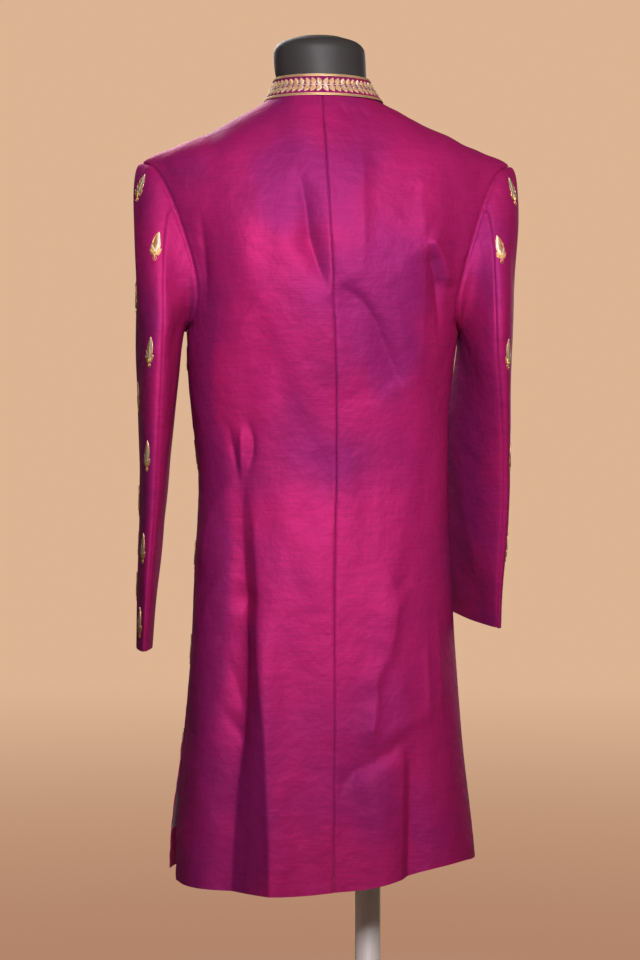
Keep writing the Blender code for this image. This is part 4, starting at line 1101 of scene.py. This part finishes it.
def sleeve_points(side, table, downs, places):
    """A grid of sleeve points; downs run 0 to 1 over the head and 1 to 2 to the cuff."""
    downs, places = np.broadcast_arrays(downs[:, None], places[None, :])
    top, cuff = table[0][0], table[-1][0]
    low = sleeve_ring(side, table, top + (cuff - top) * np.clip(downs - 1.0, 0.0, 1.0), places)
    turn = places % 1.0
    rows = YOKE_ROWS + ARMHOLE_ROWS * np.where(turn <= 0.5, turn * 2, (1.0 - turn) * 2)
    start = np.where((turn <= 0.5)[..., None], coat_point(side, 1, rows, 1.0),
                     coat_point(side, -1, rows, 1.0))
    end = sleeve_ring(side, table, np.full_like(downs, top), places)
    below = sleeve_ring(side, table, np.full_like(downs, top - BELOW), places)
    chord = np.linalg.norm(end - start, axis=-1, keepdims=True)
    around = 2 * math.pi * places
    rise = HEAD_RISE[0] + HEAD_RISE[1] * np.maximum(np.cos(around), 0.0)
    leaving = np.stack((np.full_like(downs, side), HEAD_BACK * np.sin(around), rise), axis=-1)
    leaving = leaving * HEAD_REACH * chord
    arriving = (below - end) * chord / BELOW
    t = np.clip(downs, 0.0, 1.0)[..., None]
    head = (start * (2 * t ** 3 - 3 * t * t + 1) + leaving * (t ** 3 - 2 * t * t + t)
            + end * (3 * t * t - 2 * t ** 3) + arriving * (t ** 3 - t * t))
    return np.where((downs < 1.0)[..., None], head, low)


# creases on the back of each sleeve, in the same form as those of the back
SLEEVE_CREASES = {
    1: (
        (0.012, 0.008, ((0.187, 1.264, 0.0), (0.197, 1.244, 0.0030), (0.207, 1.217, 0.0030),
            (0.213, 1.188, 0.0))),
        (0.008, 0.010, ((0.180, 1.244, 0.0), (0.190, 1.217, -0.0034), (0.197, 1.188, -0.0030),
            (0.205, 1.145, 0.0))),
        (0.006, 0.006, ((0.202, 1.120, 0.0), (0.207, 1.070, 0.0016), (0.211, 1.008, 0.0016),
            (0.213, 0.958, 0.0))),
    ),
    -1: (
        (0.009, 0.024, ((-0.151, 1.264, 0.0), (-0.154, 1.238, 0.0040), (-0.160, 1.204, 0.0045),
            (-0.165, 1.172, 0.0050), (-0.170, 1.126, 0.0050), (-0.176, 1.080, 0.0050),
            (-0.183, 1.032, 0.0050), (-0.191, 0.985, 0.0045), (-0.200, 0.930, 0.0035),
            (-0.208, 0.883, 0.0))),
        (0.003, 0.003, ((-0.146, 1.247, 0.0), (-0.152, 1.242, -0.0024), (-0.158, 1.238, 0.0))),
        (0.004, 0.004, ((-0.152, 1.217, 0.0), (-0.160, 1.210, -0.0028), (-0.166, 1.206, -0.0020),
            (-0.170, 1.202, 0.0))),
        (0.003, 0.003, ((-0.191, 1.042, 0.0), (-0.198, 1.045, -0.0012), (-0.206, 1.047, 0.0))),
    ),
}


def sleeve_cloth(side, table, places, seed):
    """Outer points and outward normals of one piece of a sleeve, creases and seams in."""
    head = 1.0 - np.cos(np.linspace(0.0, 0.5 * math.pi, SLEEVE_ROWS + 1))
    length = table[0][0] - table[-1][0]
    arm = 1.0 + np.linspace(0.0, 1.0, round(SLEEVE_ROWS * length / ROW_RUN) + 1)
    downs = np.concatenate((head[:-1], arm))
    base = sleeve_points(side, table, downs, places)
    normals = grid_normals(base, -side)
    from_start, from_end = row_lengths(base)
    from_top = column_lengths(base)[0]
    x, z = base[..., 0], base[..., 2]
    behind = smooth_step(normals[..., 1] / 0.5 + 0.5)
    lift = crease_lift(SLEEVE_CREASES[side], x, z) * behind
    in_front = crease_lift(SLEEVE_CREASES[side], x + CREASE_SHIFT[0] * side, z - CREASE_SHIFT[1])
    lift += SLEEVE_SHARE * in_front * (1.0 - behind)
    lift += SLEEVE_SHARE * waves(seed, base[..., 1] + x, z) * smooth_step(from_top / HEAD_CALM)
    lift += gathers(seed + 1, z, from_start, *SLEEVE_BACK_GATHERS)
    lift += gathers(seed + 2, z, from_end, *SLEEVE_FRONT_GATHERS)
    lift -= dip(*SIDE_DIP, from_start) + dip(*SIDE_DIP, from_end)
    lift += gathers(seed + 3, places[None, :] * HEAD_ROUND + 0.0 * z, from_top, *HEAD_GATHERS)
    lift *= smooth_step(from_top / ARMHOLE_FLAT)
    lift -= dip(*HEAD_DIP, from_top - DIP_PLACE)
    points = base + normals * lift[..., None]
    points[0, :, 0] += side * SEAM_GAP
    for end, inside in ((0, 1), (-1, -2)):
        towards = points[:, inside] - points[:, end]
        towards -= normals[:, end] * np.sum(towards * normals[:, end], axis=1)[:, None]
        points[:, end] += unit(towards) * SEAM_GAP / 2
    return points, normals


sleeves = {}
for side, table, word in ((1, LEFT_SLEEVE, "left"), (-1, RIGHT_SLEEVE, "right")):
    for part, first, last, columns in (("upper", FRONT_SEAM - 1.0, BACK_SEAM, UPPER_COLUMNS),
                                       ("under", BACK_SEAM, FRONT_SEAM, UNDER_COLUMNS)):
        name = "sleeve_" + word + "_" + part
        places = first + (last - first) * seam_turns(columns)
        points, normals = sleeve_cloth(side, table, places, 70 + 7 * columns + side)
        sleeves[name] = (points, normals)
        piece = cloth_wall("silk_" + name, points, normals, CLOTH, (silk, lining), CUFF_TURN)
        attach(piece, "root")
        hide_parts(name)
        width, length, area = flat_size(points)

# ======================================================================================
# The collar
# A standing band of silk over stiff canvas, sewn round the neck seam and open at the
# centre front; it leans a little inwards.
COLLAR_RISE = 0.030
COLLAR_IN_LEFT = 0.166    # share by which the top edge stands in from the bottom edge
COLLAR_IN_RIGHT = 0.247
COLLAR_IN_DEPTH = 0.215
COLLAR_OPENING = 0.07     # share of the front quarter left open at the centre front
COLLAR_THICKNESS = 0.0016
COLLAR_COLUMNS = 240
COLLAR_ROWS = 14


def collar_points(places, rises):
    """Points of the collar; places run -1 to 1 from one front end round the back."""
    places, rises = np.broadcast_arrays(np.asarray(places, float), np.asarray(rises, float))
    part = np.abs(places) * 2
    turn = np.where(part <= 1, part, 2.0 - part)
    top_row = np.zeros_like(turn)
    right = np.where((part <= 1)[..., None], coat_point(-1, 1, top_row, turn),
                     coat_point(-1, -1, top_row, turn))
    left = np.where((part <= 1)[..., None], coat_point(1, 1, top_row, turn),
                    coat_point(1, -1, top_row, turn))
    bottom = np.where((places >= 0)[..., None], left, right)
    narrowing = np.where(bottom[..., 0] > 0, COLLAR_IN_LEFT, COLLAR_IN_RIGHT)
    return np.stack((bottom[..., 0] * (1 - narrowing * rises),
                     bottom[..., 1] * (1 - COLLAR_IN_DEPTH * rises),
                     bottom[..., 2] + SEAM_GAP + COLLAR_RISE * rises), axis=-1)


collar_limit = 1.0 - COLLAR_OPENING / 2
places = np.linspace(-collar_limit, collar_limit, COLLAR_COLUMNS + 1)
rises = np.linspace(0.0, 1.0, COLLAR_ROWS + 1)
points = collar_points(places[None, :], rises[:, None])
normals = grid_normals(points, 1)
normals[..., 2] = 0.0
normals = unit(normals)
normals *= np.sign((normals[..., :2] * points[..., :2]).sum(-1))[..., None]
collar = cloth_wall("silk_collar", points, normals, COLLAR_THICKNESS, (silk, lining))
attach(collar, "root")
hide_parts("collar")
width, length, area = flat_size(points)

# ======================================================================================
# The collar's embroidery
# Metal-thread work: a twisted cord couched twice along each edge of the collar and, between
# them, a silvery stem with pairs of padded satin leaves, worked outwards from the back.
GOLD = (0.82, 0.58, 0.30)
SILVER = (0.90, 0.80, 0.64)
EDGE_CORD = 0.00095       # radius of the couched cords
EDGE_RISES = (0.034, 0.094, 0.906, 0.966)
STEM_CORD = 0.00060
CORD_TWIST = 0.0026       # length of one turn of a twisted cord
CORD_END = 0.002          # how far short of the collar's ends the threads stop
LEAF_PITCH = 0.0078
LEAF_START = 0.0020       # from the middle of the back to the first pair
LEAF_LENGTH = 0.0100
LEAF_WIDTH = 0.0066
LEAF_LEAN = 33.0          # degrees between a leaf and the upright
LEAF_OFF_STEM = 0.0012
LEAF_BEND = 0.15
LEAF_ROWS = 7             # stitches in each half of a leaf
LEAF_RIM = 0.00030
LEAF_FORM = (0.72, 0.85)  # powers that give a leaf its low belly and its blunt foot
# a satin stitch at its foot, middle and tip: share of the leaf's half width, height in rims of
# the leaf and thickness in steps between stitches
STITCH_ACROSS = (0.08, 0.52, 0.96)
STITCH_HEIGHT = (0.55, 1.05, 0.25)
STITCH_THICK = (0.30, 0.56, 0.34)
TWIST_DEPTH = 0.26        # share of its radius by which a twisted cord goes in and out
BAND_HEIGHT = math.hypot(COLLAR_RISE, COLLAR_IN_DEPTH * BODY[0][5])

gold_thread, nodes, links, shader = new_material("gold_thread")
set_sockets(shader, Base_Color=(*GOLD, 1.0), Metallic=0.60, Roughness=0.42)
silver_thread, nodes, links, shader = new_material("silver_thread")
set_sockets(shader, Base_Color=(*SILVER, 1.0), Metallic=0.60, Roughness=0.38)


def tube(path, radius, sides=5, twist=0.0, closed=False):
    """Points and faces of a round or twisted thread laid along a path."""
    path = np.asarray(path, float)
    radius = np.broadcast_to(np.asarray(radius, float), len(path))
    if closed:
        tangent = unit(np.roll(path, -1, axis=0) - np.roll(path, 1, axis=0))
    else:
        tangent = unit(np.gradient(path, axis=0))
    across = unit(np.cross(tangent, (0.0, 0.0, 1.0)))
    upward = np.cross(across, tangent)
    angle = 2 * math.pi * np.arange(sides) / sides
    reach = radius[:, None] * np.ones(sides)
    if twist:
        run = np.concatenate(((0.0,), np.cumsum(np.linalg.norm(np.diff(path, axis=0), axis=1))))
        turned = angle[None, :] - 2 * math.pi * run[:, None] / twist
        reach = reach * (1.0 + TWIST_DEPTH * np.cos(2 * turned))
    ring = (across[:, None] * np.cos(angle)[None, :, None]
            + upward[:, None] * np.sin(angle)[None, :, None])
    points = path[:, None] + ring * reach[..., None]
    index = np.arange(points.shape[0] * sides).reshape(-1, sides)
    if closed:
        index = np.concatenate((index, index[:1]))
    beside = np.roll(index, -1, axis=1)
    faces = np.stack((index[:-1], beside[:-1], beside[1:], index[1:]), axis=-1).reshape(-1, 4)
    return points.reshape(-1, 3), faces


def leaf(base, heading, length, width, bend, rows, rim, threads=(0, 1)):
    """Threads of one satin leaf: its two filled halves, a middle vein and a corded rim."""
    angle = math.radians(heading)
    forward = np.array((math.cos(angle), math.sin(angle), 0.0))
    sideways = np.array((-forward[1], forward[0], 0.0))
    base = np.array((*base, 0.0))

    def spot(run, across, height):
        run, across = np.asarray(run, float), np.asarray(across, float)
        belly = math.pi * np.clip(run, 0.0, 1.0) ** LEAF_FORM[0]
        half = 0.5 * width * np.sin(belly) ** LEAF_FORM[1]
        swing = bend * width * run ** 2
        place = base + forward * (run * length)[..., None]
        place = place + sideways * (across * half + swing)[..., None]
        place[..., 2] += height
        return place

    parts = []
    step = 1.0 / (rows + 1)
    for half, thread in ((1.0, threads[0]), (-1.0, threads[1])):
        for k in range(rows):
            start = step * (k + 0.35)
            run = np.array((start, start + 0.35 * step + 0.05, min(start + 0.10, 0.985)))
            path = spot(run, half * np.array(STITCH_ACROSS), np.array(STITCH_HEIGHT) * rim)
            thick = length * step * np.array(STITCH_THICK)
            parts.append((*tube(path, thick, 4), thread))
    run = np.linspace(0.02, 0.96, max(rows // 2, 5))
    parts.append((*tube(spot(run, 0.0 * run, 1.2 * rim + 0.0 * run), 0.55 * rim, 4), 1))
    run = np.concatenate((np.linspace(0.0, 1.0, rows + 3)[:-1], np.linspace(1.0, 0.0, rows + 3)[:-1]))
    turn = np.concatenate((np.ones(rows + 2), -np.ones(rows + 2)))
    parts.append((*tube(spot(run, turn, 0.6 * rim + 0.0 * run), rim, 5, closed=True), 0))
    return parts


def needlework(name, parts, place, thread=gold_thread):
    """One mesh from threads of two finishes, moved onto the cloth by a function of their points."""
    points = np.concatenate([part[0] for part in parts])
    starts = np.cumsum([0] + [len(part[0]) for part in parts[:-1]])
    faces = np.concatenate([part[1] + start for part, start in zip(parts, starts)])
    threads = np.concatenate([np.full(len(part[1]), part[2]) for part in parts])
    mesh = bpy.data.meshes.new(name)
    mesh.from_pydata(place(points).tolist(), [], faces.tolist())
    mesh.polygons.foreach_set("material_index", threads.tolist())
    mesh.shade_smooth()
    mesh.update()
    piece = link_object(name, mesh)
    piece.data.materials.append(thread)
    piece.data.materials.append(silver_thread)
    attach(piece, "root")
    return piece


band = collar_points(places, 0.5)
band_run = np.concatenate(((0.0,), np.cumsum(np.linalg.norm(np.diff(band, axis=0), axis=1))))
band_run -= np.interp(0.0, places, band_run)
band_out = normals[COLLAR_ROWS // 2]


def on_collar(points):
    """Flat points (along from the middle back, up, out) moved onto the collar."""
    share = np.interp(points[:, 0], band_run, places)
    out = np.stack([np.interp(points[:, 0], band_run, band_out[:, k]) for k in range(3)], axis=-1)
    return collar_points(share, points[:, 1] / BAND_HEIGHT) + out * points[:, 2:]


end_run = min(-band_run[0], band_run[-1]) - CORD_END
run = np.arange(-end_run, end_run, CORD_TWIST / 6)
threads = []
for rise in EDGE_RISES:
    path = np.stack((run, 0.0 * run + rise * BAND_HEIGHT, 0.0 * run + 0.7 * EDGE_CORD), axis=-1)
    threads.append((*tube(path, EDGE_CORD, 6, CORD_TWIST), 0))
path = np.stack((run, 0.0 * run + 0.5 * BAND_HEIGHT, 0.0 * run + 0.7 * STEM_CORD), axis=-1)
threads.append((*tube(path, STEM_CORD, 6, CORD_TWIST), 1))
needlework("collar_cords", threads, on_collar)

threads = []
middle = 0.5 * BAND_HEIGHT
for way in (1, -1):
    for k in range(int((end_run - LEAF_START - LEAF_LENGTH) / LEAF_PITCH)):
        start = way * (LEAF_START + LEAF_PITCH * k)
        for up in (1, -1):
            heading = 90.0 * up - LEAF_LEAN * way * up
            threads += leaf((start, middle + LEAF_OFF_STEM * up), heading, LEAF_LENGTH, LEAF_WIDTH,
                            LEAF_BEND * way * up, LEAF_ROWS, LEAF_RIM, (0, 0) if k % 3 else (0, 1))
needlework("collar_leaves", threads, on_collar)

# ======================================================================================
# The buttons
# Eight domed brass shank buttons, sewn down the edge of the left front with thread.
BUTTON_PROFILE = (        # share of the radius, share of the height
    (0.20, -0.10),
    (0.20, 0.06),
    (0.50, 0.10),
    (0.93, 0.24),
    (0.99, 0.30),
    (1.00, 0.38),
    (0.97, 0.46),
    (0.91, 0.47),
    (0.87, 0.52),
    (0.80, 0.66),
    (0.66, 0.82),
    (0.45, 0.94),
    (0.22, 0.99),
    (0.02, 1.00),
)
BUTTON_SIDES = 36
BRASS = (0.62, 0.40, 0.13)

brass, nodes, links, shader = new_material("brass")
set_sockets(shader, Base_Color=(*BRASS, 1.0), Metallic=1.0, Roughness=0.28)

for number in range(1, 9):
    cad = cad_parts[f"button_{number}"]
    spots = np.array([vertex.co for vertex in cad.data.vertices])
    middle = spots.mean(axis=0)
    spread = np.linalg.svd(spots - middle)[2]
    outward = spread[2] * -math.copysign(1.0, spread[2][1])
    across = np.array((1.0, 0.0, 0.0))
    upward = np.cross(outward, across)
    rise = (spots - middle) @ outward
    radius = np.linalg.norm((spots - middle) - np.outer(rise, outward), axis=1).max()
    foot, tip = rise.min(), rise.max()
    rings = []
    for reach, height in BUTTON_PROFILE:
        centre = middle + outward * (foot + (tip - foot) * height)
        ring = []
        for i in range(BUTTON_SIDES):
            angle = 2 * math.pi * i / BUTTON_SIDES
            spoke = across * math.cos(angle) + upward * math.sin(angle)
            ring.append(centre + spoke * radius * reach)
        rings.append(ring)
    button = link_object(f"brass_button_{number}", ringed_mesh("brass_button", rings, 40))
    button.data.materials.append(brass)
    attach(button, "root")
    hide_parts(f"button_{number}")

# ======================================================================================
# The sprigs
# Small leaf sprigs worked in metal thread over card, set in a half-drop pattern on the
# fronts and on the upper pieces of the sleeves; the backs and under-sleeves are plain.
SPRIG_COLUMNS = 0.055     # from one column to the next
SPRIG_HALF = 0.025        # room a sprig needs to the nearest edge
RING_RADIUS = 0.0029
RING_LOW = -0.0178        # height of the ring's middle below the sprig's
STEM_TOP = (0.0006, -0.0085)
SPRIG_CORD = 0.00042
SPRIG_LEAN = 5.0          # degrees to either side, at most
BACK_ROOM = 0.008         # how much nearer than other edges the side or back seam may be
LEVEL_SLACK = 0.006
LAYING_HEIGHT = 0.004     # above the cloth, from where a thread is laid on its nearest place
# foot across and up, heading in degrees, length, width, bend, rows of stitches, threads
SPRIG_LEAVES = (
    (0.0006, -0.0085, 85.0, 0.0268, 0.0128, -0.10, 15, (0, 1)),
    (-0.0010, -0.0135, 143.0, 0.0115, 0.0056, -0.30, 5, (0, 0)),
    (-0.0014, -0.0100, 120.0, 0.0125, 0.0056, -0.30, 5, (0, 1)),
    (0.0014, -0.0135, 39.0, 0.0112, 0.0056, 0.30, 5, (0, 0)),
    (0.0018, -0.0100, 62.0, 0.0120, 0.0052, 0.30, 5, (1, 0)),
)
SLEEVE_EVEN = (1.317, 1.184, 1.054, 0.933, 0.838)
SLEEVE_ODD = (1.395, 1.254, 1.127, 0.995, 0.885)
FRONT_EVEN = (1.427, 1.302, 1.177, 1.052, 0.927, 0.802, 0.681, 0.576)
FRONT_ODD = (1.365, 1.240, 1.115, 0.990, 0.865, 0.742, 0.628)
FIRST_COLUMN = 0.020      # in from the back seam of a sleeve or the side seam of a front
CLOSING = 0.8 * FRONT_LAP
# piece, how much of its front edge the closing takes, heights of even and of odd columns
SPRIG_PLACES = (
    ("sleeve_left_upper", 0.0, SLEEVE_EVEN, SLEEVE_ODD),
    ("sleeve_right_upper", 0.0, SLEEVE_EVEN, SLEEVE_ODD),
    ("front_left", CLOSING, FRONT_EVEN, FRONT_ODD),
    ("front_right", CLOSING, FRONT_EVEN, FRONT_ODD),
)
DEEP_GOLD = (0.76, 0.48, 0.17)

deep_gold, nodes, links, shader = new_material("deep_gold_thread")
set_sockets(shader, Base_Color=(*DEEP_GOLD, 1.0), Metallic=0.80, Roughness=0.36)


def sprig_threads():
    """The threads of one sprig laid out flat, its tip up."""
    parts = []
    for x, z, heading, length, width, bend, rows, kinds in SPRIG_LEAVES:
        parts += leaf((x, z), heading, length, width, bend, rows, SPRIG_CORD, kinds)
    angle = 2 * math.pi * np.arange(14) / 14
    ring = np.stack((RING_RADIUS * np.sin(angle), RING_LOW - RING_RADIUS * np.cos(angle),
                     0.0 * angle + 0.6 * SPRIG_CORD), axis=-1)
    parts.append((*tube(ring, 1.15 * SPRIG_CORD, 5, closed=True), 0))
    stem = np.stack((np.linspace(0.0, STEM_TOP[0], 4), np.linspace(RING_LOW, STEM_TOP[1], 4),
                     np.full(4, 0.8 * SPRIG_CORD)), axis=-1)
    parts.append((*tube(stem, 1.3 * SPRIG_CORD, 5), 0))
    return parts


def sprig_spots(points, closing, heights_even, heights_odd):
    """Row and column of every sprig on a grid of cloth."""
    start, end = row_lengths(points)
    from_top, from_hem = column_lengths(points)
    spots = []
    for j in range(int(end.max() / SPRIG_COLUMNS) + 1):
        away = FIRST_COLUMN + SPRIG_COLUMNS * j
        columns = np.array([np.interp(away, line[::-1], np.arange(len(line))[::-1]) for line in end])
        whole = np.clip(np.rint(columns).astype(int), 0, points.shape[1] - 1)
        levels = points[np.arange(len(points)), whole, 2]
        for height in heights_odd if j % 2 else heights_even:
            row = int(np.argmin(np.abs(levels - height)))
            column = whole[row]
            clear = min(start[row, column] - closing, end[row, column] + BACK_ROOM,
                        from_top[row, column], from_hem[row, column])
            if abs(levels[row] - height) < LEVEL_SLACK and clear > SPRIG_HALF:
                spots.append((row, column))
    return spots


sprig = sprig_threads()
for number, (name, closing, heights_even, heights_odd) in enumerate(SPRIG_PLACES):
    points, normals = sleeves[name] if name in sleeves else panels[name]
    state = bpy.context.evaluated_depsgraph_get()
    cloth = BVHTree.FromObject(bpy.data.objects["silk_" + name], state)
    way = 1.0 if "left" in name else -1.0
    chance = np.random.default_rng(90 + number)
    threads = []
    for row, column in sprig_spots(points, closing, heights_even, heights_odd):
        spot, out = points[row, column], normals[row, column]
        lean = math.radians(chance.uniform(-SPRIG_LEAN, SPRIG_LEAN))
        upright = np.array((0.0, 0.0, 1.0)) - out * out[2]
        upright = upright / np.linalg.norm(upright)
        aside = np.cross(upright, out) * way
        for flat, faces, kind in sprig:
            along_x = flat[:, 0] * math.cos(lean) - flat[:, 1] * math.sin(lean)
            along_z = flat[:, 0] * math.sin(lean) + flat[:, 1] * math.cos(lean)
            wanted = spot + along_x[:, None] * aside + along_z[:, None] * upright
            above = wanted + LAYING_HEIGHT * out
            laid = np.array([cloth.find_nearest(Vector(place))[0] for place in above])
            threads.append((laid + flat[:, 2:] * out, faces if way < 0 else faces[:, ::-1], kind))
    needlework("sprigs_" + name, threads, lambda placed: placed, deep_gold)
